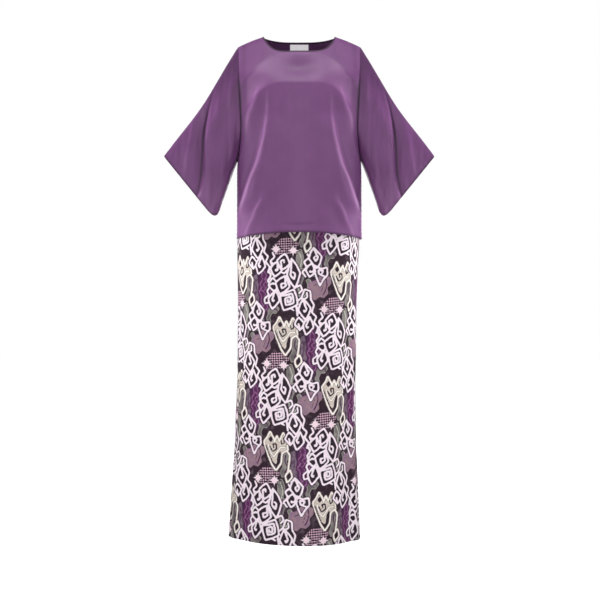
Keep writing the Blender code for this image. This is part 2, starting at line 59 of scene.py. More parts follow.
# aim is a height on the set's middle line; a light that stands to one side has a twin on the other
Softbox = namedtuple("Softbox", "name place wide tall aim power spread glossy",
                     defaults=(180.0, True))
SOFTBOXES = (
    Softbox("overhead", (0.0, -1.12, 2.43), 3.4, 0.8, -0.35, 83.0),
    Softbox("front", (0.0, -4.60, 0.00), 2.4, 2.0, -0.70, 40.0),
    Softbox("low", (0.0, -4.30, -1.30), 1.0, 0.5, -1.15, 0.75, 22.0),
    Softbox("near", (2.59, -1.50, -0.41), 1.0, 1.0, -0.20, 0.90, 36.0),
    Softbox("side", (2.92, 0.57, -0.77), 0.6, 1.3, -0.35, 3.0),
    Softbox("sleeve", (2.93, 0.57, -0.55), 0.6, 1.0, -0.24, 0.62, 36.0),
    Softbox("edge", (2.88, 0.82, -0.53), 0.6, 0.8, -0.32, 3.4, 32.0, False),
    Softbox("back", (0.0, 3.60, 0.10), 2.4, 1.8, -0.70, 52.0),
)


def softbox(name, box, hand):
    """One light that looks at the set's middle line. hand is -1 for a twin on the wearer's right."""
    light = bpy.data.lights.new(name, "AREA")
    light.shape, light.size, light.size_y, light.energy = "RECTANGLE", box.wide, box.tall, box.power
    light.spread = math.radians(box.spread)
    lamp = bpy.data.objects.new(name, light)
    place = (hand * box.place[0], *box.place[1:])
    lamp.location = place
    lamp.visible_camera = False
    lamp.visible_glossy = box.glossy
    towards = [a - p for a, p in zip((0.0, 0.0, box.aim), place)]
    lamp.rotation_euler = Vector(towards).to_track_quat("-Z", "Y").to_euler()
    bpy.context.scene.collection.objects.link(lamp)


def shader_of(name, roughness, **values):
    """A new material: its node tree and its Principled shader, with constants set on it."""
    made = bpy.data.materials.new(name)
    made.use_nodes = True
    shader = made.node_tree.nodes["Principled BSDF"]
    shader.inputs["Roughness"].default_value = roughness
    for socket, value in values.items():
        shader.inputs[socket.replace("_", " ")].default_value = value
    return made, made.node_tree, shader


def feed(tree, value, socket):
    """Links a socket's value to another one, or sets a constant on it."""
    if isinstance(value, bpy.types.NodeSocket):
        tree.links.new(value, socket)
    else:
        socket.default_value = value


def node(tree, kind, **settings):
    """A new node. Settings named for a socket set it or link to it, and others are its properties."""
    made = tree.nodes.new(kind)
    for key, value in settings.items():
        if not key.startswith("in_"):
            setattr(made, key, value)
    for key, value in settings.items():
        if key.startswith("in_"):
            name = key[3:].replace("_", " ")
            feed(tree, value, made.inputs[int(name)] if name.isdigit() else made.inputs[name])
    return made


def maths(tree, operation, a, b=0.0):
    return node(tree, "ShaderNodeMath", operation=operation, in_0=a, in_1=b).outputs[0]


def blend_colours(tree, share, low, high, mode="MIX"):
    made = node(tree, "ShaderNodeMix", data_type="RGBA", blend_type=mode)
    for name, value in (("Factor", share), ("A", low), ("B", high)):
        feed(tree, value, next(s for s in made.inputs if s.name == name and s.enabled))
    return next(s for s in made.outputs if s.enabled)


def studio_world():
    """White behind the set, with a weaker, even light that comes from all round."""
    world = bpy.data.worlds.new("studio")
    bpy.context.scene.world = world
    world.use_nodes = True
    tree = world.node_tree
    tree.nodes.clear()
    seen = node(tree, "ShaderNodeBackground", in_Color=WHITE)
    lit = node(tree, "ShaderNodeBackground", in_Color=ROOM_LIGHT["color"],
               in_Strength=ROOM_LIGHT["strength"])
    by_camera = node(tree, "ShaderNodeLightPath").outputs["Is Camera Ray"]
    mix = node(tree, "ShaderNodeMixShader", in_0=by_camera, in_1=lit.outputs[0], in_2=seen.outputs[0])
    node(tree, "ShaderNodeOutputWorld", in_Surface=mix.outputs[0])


def studio_floor():
    turns = np.linspace(0, 2 * math.pi, FLOOR_SIDES, endpoint=False)
    mesh = bpy.data.meshes.new("floor")
    rim = [(math.cos(a) * FLOOR_RADIUS, math.sin(a) * FLOOR_RADIUS, FLOOR_Z) for a in turns]
    mesh.from_pydata(rim, [], [tuple(range(FLOOR_SIDES))])
    floor = bpy.data.objects.new("floor", mesh)
    bpy.context.scene.collection.objects.link(floor)
    look, tree, shader = shader_of("pale_floor", 0.9, Specular_IOR_Level=0.1, Emission_Color=WHITE)
    paper = node(tree, "ShaderNodeTexNoise", in_Scale=3.0).outputs["Fac"]
    tree.links.new(blend_colours(tree, paper, *FLOOR_TONES), shader.inputs["Base Color"])
    # it looks white to its far edge, and yet lights the cloth no more than pale paper does
    by_camera = node(tree, "ShaderNodeLightPath").outputs["Is Camera Ray"]
    tree.links.new(maths(tree, "MULTIPLY", by_camera, FLOOR_GLOW), shader.inputs["Emission Strength"])
    mesh.materials.append(look)


camera = bpy.data.objects.new("camera", bpy.data.cameras.new("camera"))
camera.data.lens, camera.data.sensor_width = CAMERA_LENS, CAMERA_SENSOR
camera.location, camera.rotation_euler = CAMERA_PLACE, (math.pi / 2, 0.0, 0.0)
bpy.context.scene.collection.objects.link(camera)
bpy.context.scene.camera = camera
bpy.context.scene.view_settings.view_transform = "Standard"
for box in SOFTBOXES:
    if box.place[0]:
        softbox(f"{box.name}_left", box, 1)
        softbox(f"{box.name}_right", box, -1)
    else:
        softbox(box.name, box, 1)
studio_world()
studio_floor()

# ==== Blouse front and back ======================================================================
# Two panels of plum satin crepe, sewn at the shoulders and sides, with a narrow turned hem. The
# cloth rounds over from the chest to the shoulders and hangs loose, in soft drapes, to the hem.
CLOTH = 0.0016  # thickness of every cloth wall
SEAM_GAP = 0.00004
BOXINESS = 0.85
HEM_Z = -0.547
HEM_RISE = {"front": 0.014, "back": 0.004}
UNDERARM_Z = -0.333
CHEST_Z = {"front": -0.150, "back": -0.170}
SHOULDER_FLATNESS = 0.40
NECK_HALF = 0.101
NECK_DROP = {"front": 0.051, "back": 0.010}
NECK_ROUNDNESS = {"front": 5.0, "back": 3.3}
SHOULDER_RISE = 0.0155
SHOULDER_SLOPE = 2 * SHOULDER_RISE / NECK_HALF
SHOULDER_CURVE = 1.6
EDGE_CLIMB = 1.3

BodySection = namedtuple("BodySection", "height half_width front back")
BODY_SECTIONS = (
    BodySection(-0.555, 0.1690, 0.126, 0.122),
    BodySection(-0.450, 0.1690, 0.131, 0.115),
    BodySection(-0.370, 0.1688, 0.134, 0.109),
    BodySection(-0.333, 0.1675, 0.135, 0.107),
    BodySection(-0.215, 0.1675, 0.136, 0.105),
)
ArmholePoint = namedtuple("ArmholePoint", "way half_width turn")
ARMHOLE = (
    ArmholePoint(0.00, 0.1675, 90.0),
    ArmholePoint(0.12, 0.1610, 74.0),
    ArmholePoint(0.30, 0.1560, 62.0),
    ArmholePoint(0.50, 0.1590, 56.0),
    ArmholePoint(0.75, 0.1630, 49.0),
    ArmholePoint(1.00, 0.1660, 44.0),
)
# A crease runs down the cloth along its route of (z, x). It rises or sinks by its height, over one
# half width towards the middle of the garment and another away from it. Here other is its share
# of that height on the wearer's right, where the cloth hangs a little differently.
Crease = namedtuple("Crease", "side height inner outer other route")
BODY_CREASES = (
    Crease("front", 0.0105, 0.028, 0.0075, 0.94,
           ((-0.235, 0.082), (-0.265, 0.086), (-0.300, 0.0945), (-0.350, 0.109), (-0.391, 0.127),
            (-0.433, 0.141), (-0.472, 0.155))),
    Crease("front", -0.0030, 0.011, 0.016, 1.00,
           ((-0.250, 0.103), (-0.300, 0.114), (-0.350, 0.128), (-0.391, 0.144), (-0.430, 0.156))),
    Crease("front", 0.0020, 0.024, 0.0060, 1.15, ((-0.165, 0.081), (-0.215, 0.081), (-0.250, 0.084))),
    Crease("front", 0.0050, 0.018, 0.0075, 1.00,
           ((-0.155, 0.107), (-0.181, 0.115), (-0.202, 0.124), (-0.223, 0.132), (-0.255, 0.137))),
    Crease("front", 0.0030, 0.011, 0.0060, 0.80, ((-0.270, 0.138), (-0.310, 0.147), (-0.345, 0.156))),
    Crease("front", 0.0044, 0.016, 0.0060, 1.00,
           ((-0.448, 0.098), (-0.475, 0.113), (-0.496, 0.122), (-0.517, 0.133), (-0.545, 0.142))),
    Crease("front", 0.0012, 0.008, 0.0060, 0.60, ((-0.330, 0.094), (-0.380, 0.106), (-0.430, 0.122))),
    Crease("back", 0.0070, 0.018, 0.012, 1.00,
           ((-0.200, 0.075), (-0.300, 0.092), (-0.400, 0.112), (-0.500, 0.134))),
    Crease("back", 0.0045, 0.014, 0.010, 1.00, ((-0.180, 0.132), (-0.260, 0.137), (-0.330, 0.147))),
    Crease("back", -0.0045, 0.017, 0.017, 0.80, ((-0.250, 0.040), (-0.380, 0.050), (-0.520, 0.060))),
    Crease("back", 0.0024, 0.008, 0.008, 1.20, ((-0.330, 0.105), (-0.420, 0.128), (-0.500, 0.146))),
)
# the chest leans back in one plane from a soft line across the bust, and dips a little at the throat;
# the throat's tone is a painted shade over the hollow
CHEST = {"line": -0.1375, "tall": 0.080, "depth": 0.0070, "corner": 0.084, "round": 0.012, "fall": 1.15}
THROAT = {"depth": 0.0090, "z": -0.0890, "half_width": 0.047, "half_height": 0.020, "tone": -0.20,
          "tone_reach": 1.4}
CREASE_FADE = 0.05
SEAM_FADE = {"side_power": 10, "shoulder": 0.25}  # creases die out towards the seams
# the creases' painted light: a painted highlight on a high crease's outer brow, painted shade in a deep
# one's bottom
TONE_FULL = 0.0100
BROW_SHARE = 0.68
BROW_WIDTH = 0.0044
FOLD_WIDTH = 0.0034
FOLD_HEAD = {"share": 0.4, "reach": 0.11}
# a painted highlight over the chest, from the bust line up, strongest towards the armholes
CHEST_PAINTED_HIGHLIGHT = {"tone": 0.47, "middle": 0.15, "from": 0.060, "to": 0.118, "end": 0.145, "fade": 0.012,
              "low": 0.18, "high": 0.15}
# painted highlights fade out within this distance of a panel's edge
TONE_EDGE = 0.010
# a painted shade in a narrow upright band just inside the armhole, up towards the shoulder
SHOULDER_PAINTED_SHADE = {"tone": -0.21, "x": 0.1490, "half_width": 0.0075, "from": -0.130, "end": -0.158}
# painted shade along the armhole seam
ARMHOLE_PAINTED_SHADE = {"tone": -1.05, "reach": 0.0046, "from": 0.20, "to": 0.80, "fade": 0.35}
SMILE = {"height": -0.0016, "half_width": 0.0055, "reach": 0.048, "z": -0.5165, "sag": 0.0065,
         "ends": 3}
# slow unevenness of the hang: height, waves per metre across and down, and where the wave starts
Sway = namedtuple("Sway", "height across down start")
BODY_SWAY = (
    Sway(0.00035, 7.0, 2.0, 0.4),
    Sway(0.00025, 13.0, -2.5, 1.9),
    Sway(0.00020, 4.0, 6.5, 3.1),
    Sway(0.00010, 27.0, 3.5, 5.0),
)
SEAM_PUCKER = {"height": 0.00055, "pitch": 0.0125, "reach": 0.006, "uneven": 0.4,
               "uneven_pitch": 0.071, "wander": 2.2, "wander_rate": 37.0}
SEAM_SINK = {"depth": 0.0009, "reach": 0.0022, "start": 0.0008}
HEM_TURN = {"width": 0.017, "step": 0.00045, "round": 0.003}
EDGE_REACH = 0.004  # fine relief is full this far from a sewn edge

BODY_ROWS = 66  # hem to underarm
ARMHOLE_ROWS = 92  # underarm to shoulder, and half the points of a sleeve's ring
NECK_COLUMNS = {"front": 96, "back": 96}
SHOULDER_COLUMNS = 34

SIDE_SIGN = {"front": -1.0, "back": 1.0}
QUARTER_TURN = math.pi / 2
NUDGE = 1e-4
SEARCH = {"from": 0.3, "halvings": 40}
CORNER_ANGLE = math.radians(50)


def smooth(places, values, at, flat_start=False):
    """Monotone cubic through a table's values, so that a section never swells past its neighbours."""
    places, values = np.asarray(places, float), np.asarray(values, float)
    if places[0] > places[-1]:
        places, values = places[::-1], values[::-1]
    gaps = np.diff(places)
    slopes = np.diff(values) / gaps
    same_way = slopes[:-1] * slopes[1:] > 0
    total = np.where(same_way, slopes[:-1] + slopes[1:], 1.0)
    inner = np.where(same_way, 2 * slopes[:-1] * slopes[1:] / total, 0.0)
    tangents = np.concatenate([slopes[:1] * (not flat_start), inner, slopes[-1:]])
    at = np.clip(at, places[0], places[-1])
    i = np.clip(np.searchsorted(places, at) - 1, 0, len(gaps) - 1)
    t = (at - places[i]) / gaps[i]
    return (
        values[i] * (1 + 2 * t) * (1 - t) ** 2
        + values[i + 1] * t * t * (3 - 2 * t)
        + gaps[i] * t * (1 - t) * (tangents[i] * (1 - t) - tangents[i + 1] * t)
    )


def column(table, name):
    return [getattr(row, name) for row in table]


def unit(vectors):
    return vectors / np.maximum(np.linalg.norm(vectors, axis=-1, keepdims=True), 1e-12)


def ease(t):
    t = np.clip(t, 0.0, 1.0)
    return t * t * (3 - 2 * t)


def bend(t, width):
    """0 below a corner and t beyond it, rounded over the width."""
    return width * np.logaddexp(0.0, t / width)


def normals_of(surface, u, v, u_range, v_range):
    """Unit normals of surface(u, v), from small steps that stay inside its ranges."""
    u0, u1 = np.maximum(u - NUDGE, u_range[0]), np.minimum(u + NUDGE, u_range[1])
    v0, v1 = np.maximum(v - NUDGE, v_range[0]), np.minimum(v + NUDGE, v_range[1])
    across = surface(u1, v) - surface(u0, v)
    along = surface(u, v1) - surface(u, v0)
    return unit(np.cross(unit(across), unit(along)))


def creases_at(creases, side, x, z):
    """One side's creases, each with how far aside of it a place lies, how much of it is left near its
    ends, and its share on this half of the garment."""
    for crease in creases:
        if crease.side == side:
            heights, places = zip(*crease.route)
            aside = np.abs(x) - smooth(heights, places, z)
            ends = (ease((heights[0] - z) / CREASE_FADE + 0.5)
                    * ease((z - heights[-1]) / CREASE_FADE + 0.5))
            yield crease, aside, ends, np.where(x < 0, crease.other, 1.0)


def crease_relief(creases, side, x, z):
    """Height of one side's creases at a place seen from the front."""
    relief = np.zeros(np.broadcast(x, z).shape)
    for crease, aside, ends, share in creases_at(creases, side, x, z):
        half_width = np.where(aside < 0, crease.inner, crease.outer)
        relief += crease.height * share * ends * np.exp(-((aside / half_width) ** 2))
    return relief


def fold_tone(creases, side, x, z):
    """Painted light of the creases: from -1, a painted shade in the bottom of a deep fold, to 1, a
    painted highlight on the outer brow of a high one."""
    tone = np.zeros(np.broadcast(x, z).shape)
    for crease, aside, ends, share in creases_at(creases, side, x, z):
        strength = np.clip(crease.height / TONE_FULL, -1.0, 1.0) * ends * share
        if crease.height > 0:
            brow, width = aside - BROW_SHARE * crease.outer, BROW_WIDTH
        else:
            brow, width = aside, FOLD_WIDTH
        below_head = ease((crease.route[0][0] - z) / FOLD_HEAD["reach"])
        strength = strength * (FOLD_HEAD["share"] + (1 - FOLD_HEAD["share"]) * below_head)
        tone += strength * np.exp(-((brow / width) ** 2))
    return tone


def sway(waves, x, z):
    return sum(w.height * np.sin(2 * math.pi * (w.across * x + w.down * z) + w.start) for w in waves)


def seam_relief(distance, along):
    """The cloth sinks into a seam, and puckers a little beside it."""
    near = distance / SEAM_PUCKER["reach"]
    swell = np.sin(along * 2 * math.pi / SEAM_PUCKER["uneven_pitch"] + 1.0)
    uneven = 1 - SEAM_PUCKER["uneven"] + SEAM_PUCKER["uneven"] * swell
    wander = SEAM_PUCKER["wander"] * np.sin(along * SEAM_PUCKER["wander_rate"])
    ripple = np.sin(along * 2 * math.pi / SEAM_PUCKER["pitch"] + wander)
    pucker = SEAM_PUCKER["height"] * uneven * ripple * near * np.exp(1 - near)
    return pucker - SEAM_SINK["depth"] * np.exp(-((distance / SEAM_SINK["reach"]) ** 2))


def hem_relief(from_hem):
    """The cloth lies double where the hem is turned up."""
    return HEM_TURN["step"] * ease((HEM_TURN["width"] - from_hem) / HEM_TURN["round"] + 0.5)


def shoulder_height(x):
    """The shoulder seam's line, carried on as a crown over the neck opening."""
    out = np.maximum(np.abs(x) - NECK_HALF, 0.0)
    crown = SHOULDER_RISE * (1 - np.minimum(np.abs(x) / NECK_HALF, 1.0) ** 2)
    return crown - SHOULDER_SLOPE * out - SHOULDER_CURVE * out**2


def neckline_height(side, x):
    return -NECK_DROP[side] * (1 - (np.abs(x) / NECK_HALF) ** NECK_ROUNDNESS[side])


def chest_share(side):
    """Share of the climb from underarm to shoulder that comes before the cloth rounds over."""
    upright = CHEST_Z[side] - UNDERARM_Z
    depth = getattr(BODY_SECTIONS[-1], side)
    arc = QUARTER_TURN * math.sqrt((CHEST_Z[side] ** 2 + depth**2) / 2)
    return upright / (upright + arc)


def plain_body(side, across, up):
    """The body without its creases, carried on over the neck opening. across runs from -1 to 1
    between the side edges; up is 0 at the hem, 1 at the underarm and 2 at the shoulder line."""
    across, up = np.broadcast_arrays(np.asarray(across, float), np.asarray(up, float))
    chest, share = CHEST_Z[side], chest_share(side)

    # below the underarm: upright rings
    below = np.minimum(up, 1.0)
    hem = HEM_Z + HEM_RISE[side] * np.cos(across * QUARTER_TURN) ** 2
    z_below = hem + (UNDERARM_Z - hem) * below

    # above it: the edge follows the armhole, and the cloth rounds over to the shoulder
    way = np.maximum(up - 1.0, 0.0)
    ways = column(ARMHOLE, "way")
    turn = np.radians(smooth(ways, column(ARMHOLE, "turn"), way))
    width = smooth(ways, column(ARMHOLE, "half_width"), way, flat_start=True) / np.sin(turn)
    edge_share = ease(np.abs(across)) ** 2
    climb = way**EDGE_CLIMB * edge_share + way * (1 - edge_share)
    z_upright = UNDERARM_Z + (chest - UNDERARM_Z) * np.minimum(climb / share, 1.0)
    over = np.clip((climb - share) / (1 - share), 0.0, 1.0) * QUARTER_TURN
    power = 1 + SHOULDER_FLATNESS * np.sin(2 * over) ** 2

    is_below = up <= 1.0
    heights = column(BODY_SECTIONS, "height")
    z_ring = np.where(is_below, z_below, z_upright)
    width = np.where(is_below, smooth(heights, column(BODY_SECTIONS, "half_width"), z_ring), width)
    turn = np.where(is_below, QUARTER_TURN, turn) * across
    depth = smooth(heights, column(BODY_SECTIONS, side), z_ring)
    x = width * np.sin(turn)
    z = np.where(is_below, z_below, z_upright + (shoulder_height(x) - chest) * np.sin(over) ** power)
    around = np.abs(np.cos(turn)) ** BOXINESS
    y = SIDE_SIGN[side] * (depth * around * np.cos(over) ** power + SEAM_GAP / 2)
    return np.stack([x, y, z], axis=-1)


def chest_way(x, z):
    """0 on and below the line across the bust, 1 at the top of the chest."""
    line = CHEST["line"] - CHEST["fall"] * bend(np.abs(x) - CHEST["corner"], CHEST["round"])
    return np.clip((z - line) / CHEST["tall"], 0.0, 1.0)


def body(side, across, up):
    """The outer face of the blouse's front or back, with its creases. They fade out at the seams."""
    base = plain_body(side, across, up)
    normal = body_normals(plain_body, side, across, up)
    x, z = base[..., 0], base[..., 2]
    inner = (1 - np.abs(across) ** SEAM_FADE["side_power"]) * ease((2.0 - up) / SEAM_FADE["shoulder"])
    relief = (crease_relief(BODY_CREASES, side, x, z) + sway(BODY_SWAY, x, z)) * inner
    if side == "front":
        way = chest_way(x, z)
        relief -= 4 * CHEST["depth"] * way * (1 - way) * inner
        tall = np.where(z > THROAT["z"], THROAT["half_height"], 2 * THROAT["half_height"])
        hollow = (x / THROAT["half_width"]) ** 2 + ((z - THROAT["z"]) / tall) ** 2
        relief -= THROAT["depth"] * np.exp(-hollow)
        curve = z - SMILE["z"] - SMILE["sag"] * (x / SMILE["reach"]) ** 2
        ends = ease((1 - np.abs(x) / SMILE["reach"]) * SMILE["ends"])
        relief += SMILE["height"] * ends * np.exp(-((curve / SMILE["half_width"]) ** 2))
    return base + relief[..., None] * normal


def body_normals(surface, side, across, up):
    across, up = np.broadcast_arrays(np.asarray(across, float), np.asarray(up, float))
    out = normals_of(lambda u, v: surface(side, u, v), across, up, (-1.0, 1.0), (0.0, 2.0))
    return out * -SIDE_SIGN[side]


def neck_share(side, across):
    """How far between underarm and shoulder line each column of the panel ends: short of 1 where
    the neckline cuts it."""
    inside = np.abs(plain_body(side, across, 2.0)[..., 0]) < NECK_HALF - 1e-9
    low, high = np.full(np.shape(across), SEARCH["from"]), np.ones(np.shape(across))
    for _ in range(SEARCH["halvings"]):
        middle = (low + high) / 2
        place = plain_body(side, across, 1 + middle)
        too_high = place[..., 2] > neckline_height(side, place[..., 0])
        low, high = np.where(too_high, low, middle), np.where(too_high, middle, high)
    return np.where(inside, high, 1.0)


def closing_in(count, start, end, squeeze=0.55):
    """Steps from start to end that come closer together towards the end."""
    t = np.linspace(0, 1, count + 1)
    return start + (end - start) * ((1 - squeeze) * t + squeeze * (1 - (1 - t) ** 2))


def body_columns(side):
    """Values of across: closer steps near each armhole, and even turns round the neckline."""
    top_turn = math.radians(ARMHOLE[-1].turn)
    full = ARMHOLE[-1].half_width / math.sin(top_turn)
    neck = NECK_HALF * np.sin(np.linspace(-1, 1, NECK_COLUMNS[side] + 1) * QUARTER_TURN)
    neck = np.arcsin(neck / full) / top_turn
    shoulder = closing_in(SHOULDER_COLUMNS, neck[-1], 1.0)[1:]
    return np.concatenate([-shoulder[::-1], neck, shoulder])


def lengths_along(grid, axis):
    """Distance travelled over a grid of points along one of its axes, from its first row or column."""
    steps = np.linalg.norm(np.diff(grid, axis=axis), axis=-1)
    start = np.zeros_like(np.take(steps, [0], axis=axis))
    return np.concatenate([start, np.cumsum(steps, axis=axis)], axis=axis)


def armhole_painted_shade(distance, way):
    """Painted shade along the armhole seam, in the gap where the sleeve falls against the body."""
    low, high = ARMHOLE_PAINTED_SHADE["from"], ARMHOLE_PAINTED_SHADE["to"]
    window = ease(way / low) * ease((high - way) / ARMHOLE_PAINTED_SHADE["fade"])
    return ARMHOLE_PAINTED_SHADE["tone"] * window * np.exp(-((distance / ARMHOLE_PAINTED_SHADE["reach"]) ** 2))


def body_grid(side):
    """Outer points and normals of a body panel, a row for each height and a column for each across,
    with each point's place on the flat cloth and its distances from the hem and the side edges."""
    below = np.linspace(0, 1, BODY_ROWS + 1)[:-1, None]
    above = np.linspace(0, 1, ARMHOLE_ROWS + 1)[:, None]
    across = body_columns(side)
    above = above * (1 - (1 - neck_share(side, across)) * above)
    up = np.concatenate([below + 0 * across, 1 + above])
    across = np.broadcast_to(across, up.shape)
    points, normals = body(side, across, up), body_normals(body, side, across, up)

    down_cloth, over_cloth = lengths_along(points, 0), lengths_along(points, 1)
    edge = np.minimum(over_cloth, over_cloth[:, -1:] - over_cloth)
    fine = seam_relief(edge, down_cloth) * ease(edge / SEAM_SINK["start"])
    fine = (fine + hem_relief(down_cloth)) * ease(edge / EDGE_REACH)
    points = points + fine[..., None] * normals
    flat = np.stack([over_cloth - over_cloth[:, -1:] / 2, down_cloth], axis=-1)
    x, z = points[..., 0], points[..., 2]
    # painted light stored with each point: the creases' painted highlights and painted shade, then on
    # the front a painted highlight on the chest and painted shade at the throat and beside the shoulder
    tone = fold_tone(BODY_CREASES, side, x, z)
    if side == "front":
        # a painted highlight on the chest
        way = chest_way(x, z)
        chest = ease(way / CHEST_PAINTED_HIGHLIGHT["low"]) * ease((1.0 - way) / CHEST_PAINTED_HIGHLIGHT["high"])
        out = ease((np.abs(x) - CHEST_PAINTED_HIGHLIGHT["from"]) / (CHEST_PAINTED_HIGHLIGHT["to"] - CHEST_PAINTED_HIGHLIGHT["from"]))
        share = CHEST_PAINTED_HIGHLIGHT["middle"] + (1 - CHEST_PAINTED_HIGHLIGHT["middle"]) * out
        within = ease((CHEST_PAINTED_HIGHLIGHT["end"] - np.abs(x)) / CHEST_PAINTED_HIGHLIGHT["fade"])
        tone += CHEST_PAINTED_HIGHLIGHT["tone"] * chest * share * within
        tone *= np.where(tone > 0, ease(edge / TONE_EDGE), 1.0)
        # painted shade in the throat's hollow
        low = (z - THROAT["z"]) / (THROAT["tone_reach"] * THROAT["half_height"])
        tone += THROAT["tone"] * np.exp(-((x / THROAT["half_width"]) ** 4) - low**4)
        # painted shade beside the armhole, below the shoulder
        beside = (np.abs(x) - SHOULDER_PAINTED_SHADE["x"]) / SHOULDER_PAINTED_SHADE["half_width"]
        high = ease((z - SHOULDER_PAINTED_SHADE["end"]) / (SHOULDER_PAINTED_SHADE["from"] - SHOULDER_PAINTED_SHADE["end"]))
        tone += SHOULDER_PAINTED_SHADE["tone"] * high * np.exp(-(beside**2))
    # painted shade in the armhole seam
    tone += armhole_painted_shade(edge, np.maximum(up - 1.0, 0.0))

    # both panels stand square to the shoulder seam, so that the two walls meet edge to edge
    x = points[-1, :, 0]
    out = np.abs(x) - NECK_HALF
    slope = np.sign(x) * (SHOULDER_SLOPE + 2 * SHOULDER_CURVE * np.maximum(out, 0.0))
    square = unit(np.stack([slope, np.zeros(len(x)), np.ones(len(x))], axis=-1))
    normals[-1] = np.where((out > -1e-6)[:, None], square, normals[-1])
    return {"points": points, "normals": normals, "flat": flat, "hem": down_cloth, "edge": edge,
            "tone": tone}


def cloth_wall(name, outer, inner, finish, ring=False, **fields):
    """One closed wall between two grids of points, with values for its outer points as attributes.
    A ring's last column joins its first. The inner grid may have one row for several outer ones."""
    rows, columns = outer.shape[:2]
    step = (rows - 1) // (len(inner) - 1)
    near = np.arange(rows * columns).reshape(rows, columns)
    far = np.arange(inner.shape[0] * columns).reshape(-1, columns) + rows * columns
    if ring:
        near, far = (np.concatenate([g, g[:, :1]], axis=1) for g in (near, far))

    def quads(a, b, c, d):
        return np.stack([part.ravel() for part in (a, b, c, d)], axis=-1).tolist()

    faces = quads(near[:-1, :-1], near[:-1, 1:], near[1:, 1:], near[1:, :-1])
    skin = np.array(faces)
    faces += quads(far[:-1, :-1], far[1:, :-1], far[1:, 1:], far[:-1, 1:])
    faces += quads(near[0, 1:], near[0, :-1], far[0, :-1], far[0, 1:])
    faces += quads(near[-1, :-1], near[-1, 1:], far[-1, 1:], far[-1, :-1])
    if not ring:
        for i in range(len(inner) - 1):
            run = slice(i * step, (i + 1) * step + 1)
            faces.append([*near[run, 0].tolist(), int(far[i + 1, 0]), int(far[i, 0])])
            faces.append([*near[run, -1].tolist()[::-1], int(far[i, -1]), int(far[i + 1, -1])])
    # outer faces look the way that leads from the inner grid to the outer one
    a, b, c = (outer.reshape(-1, 3)[skin[:, k]] for k in (0, 1, 2))
    thick = np.zeros_like(outer)
    thick[::step] = outer[::step] - inner
    thick = thick.reshape(-1, 3)[skin[:, 0]]
    if (np.cross(b - a, c - b) * thick).sum() < 0:
        faces = [face[::-1] for face in faces]
    mesh = bpy.data.meshes.new(name)
    mesh.from_pydata(np.concatenate([outer.reshape(-1, 3), inner.reshape(-1, 3)]).tolist(), [], faces)
    for field, values in fields.items():
        values = np.asarray(values, float).reshape(rows, columns, -1)
        size = values.shape[-1]
        values = np.concatenate([values.reshape(-1, size), values[::step].reshape(-1, size)])
        kind, key = ("FLOAT", "value") if size == 1 else ("FLOAT_VECTOR", "vector")
        if size == 2:  # a third value tells the cloth's inside, 1, from its outside, 0
            outside = np.arange(len(values)) < rows * columns
            values = np.concatenate([values, np.where(outside, 0.0, 1.0)[:, None]], axis=1)
        stored = mesh.attributes.new(field, kind, "POINT")
        stored.data.foreach_set(key, values.astype(np.float32).ravel())
    mesh.shade_smooth()
    mesh.set_sharp_from_angle(angle=CORNER_ANGLE)
    mesh.materials.append(finish)
    made = bpy.data.objects.new(name, mesh)
    bpy.context.scene.collection.objects.link(made)
    return made


SLUBS = 420.0  # thick places in the thread, a metre
CREPE_THREADS = 2400.0
CREPE_STREAKS = (85.0, 5.0, 1.0)
CREPE_RELIEF = {"threads": 0.00006, "streaks": 0.0003}
# seams darken to the thread's colour; along the hem the same darkening is a painted shade
SEAM_THREAD_AND_HEM_SHADE = {"full": 0.0004, "gone": 0.0022, "dark": 0.75, "hem_share": 0.30}
# how far the stored painted light moves the colour: towards float, a painted highlight's colour, and
# towards shade, a painted shade's colour
FOLD_SHARE = {"float": 0.46, "shade": 0.85}


def linear(red, green, blue):
    """A colour given as 0-255 screen values, in Blender's linear ones."""
    parts = [c / 255 for c in (red, green, blue)]
    return (*(c / 12.92 if c <= 0.04045 else ((c + 0.055) / 1.055) ** 2.4 for c in parts), 1.0)


def attribute(tree, name, output="Fac"):
    return node(tree, "ShaderNodeAttribute", attribute_name=name).outputs[output]


def ranged(tree, value, low, high, to_low=0.0, to_high=1.0):
    return node(tree, "ShaderNodeMapRange", in_Value=value, in_1=low, in_2=high, in_3=to_low,
                in_4=to_high).outputs[0]


def noise(tree, place, scale, detail, **settings):
    return node(tree, "ShaderNodeTexNoise", in_Vector=place, in_Scale=scale, in_Detail=detail,
                **settings).outputs["Fac"]


def weave_group():
    """Threads of a plain weave, from a place on the flat cloth in metres: a height and a tone."""
    tree = bpy.data.node_groups.new("woven_threads", "ShaderNodeTree")
    for name, kind in (("Place", "Vector"), ("Threads per metre", "Float"), ("Unevenness", "Float")):
        tree.interface.new_socket(name, in_out="INPUT", socket_type=f"NodeSocket{kind}")
    for name in ("Height", "Tone"):
        tree.interface.new_socket(name, in_out="OUTPUT", socket_type="NodeSocketFloat")
    given = tree.nodes.new("NodeGroupInput").outputs
    turn = maths(tree, "MULTIPLY", given["Threads per metre"], math.pi)
    scaled = node(tree, "ShaderNodeVectorMath", operation="SCALE", in_0=given["Place"], in_Scale=turn)
    split = node(tree, "ShaderNodeSeparateXYZ", in_0=scaled.outputs[0]).outputs
    crossing = maths(tree, "MULTIPLY", *(maths(tree, "SINE", split[axis]) for axis in "XY"))
    slubs = maths(tree, "SUBTRACT", noise(tree, given["Place"], SLUBS, 3.0, label="slubs"), 0.5)
    uneven = maths(tree, "MULTIPLY", slubs, given["Unevenness"])
    height = maths(tree, "ADD", maths(tree, "MULTIPLY", crossing, 0.5), uneven)
    node(tree, "NodeGroupOutput", in_Height=height, in_Tone=maths(tree, "ADD", uneven, 0.5))
    return tree


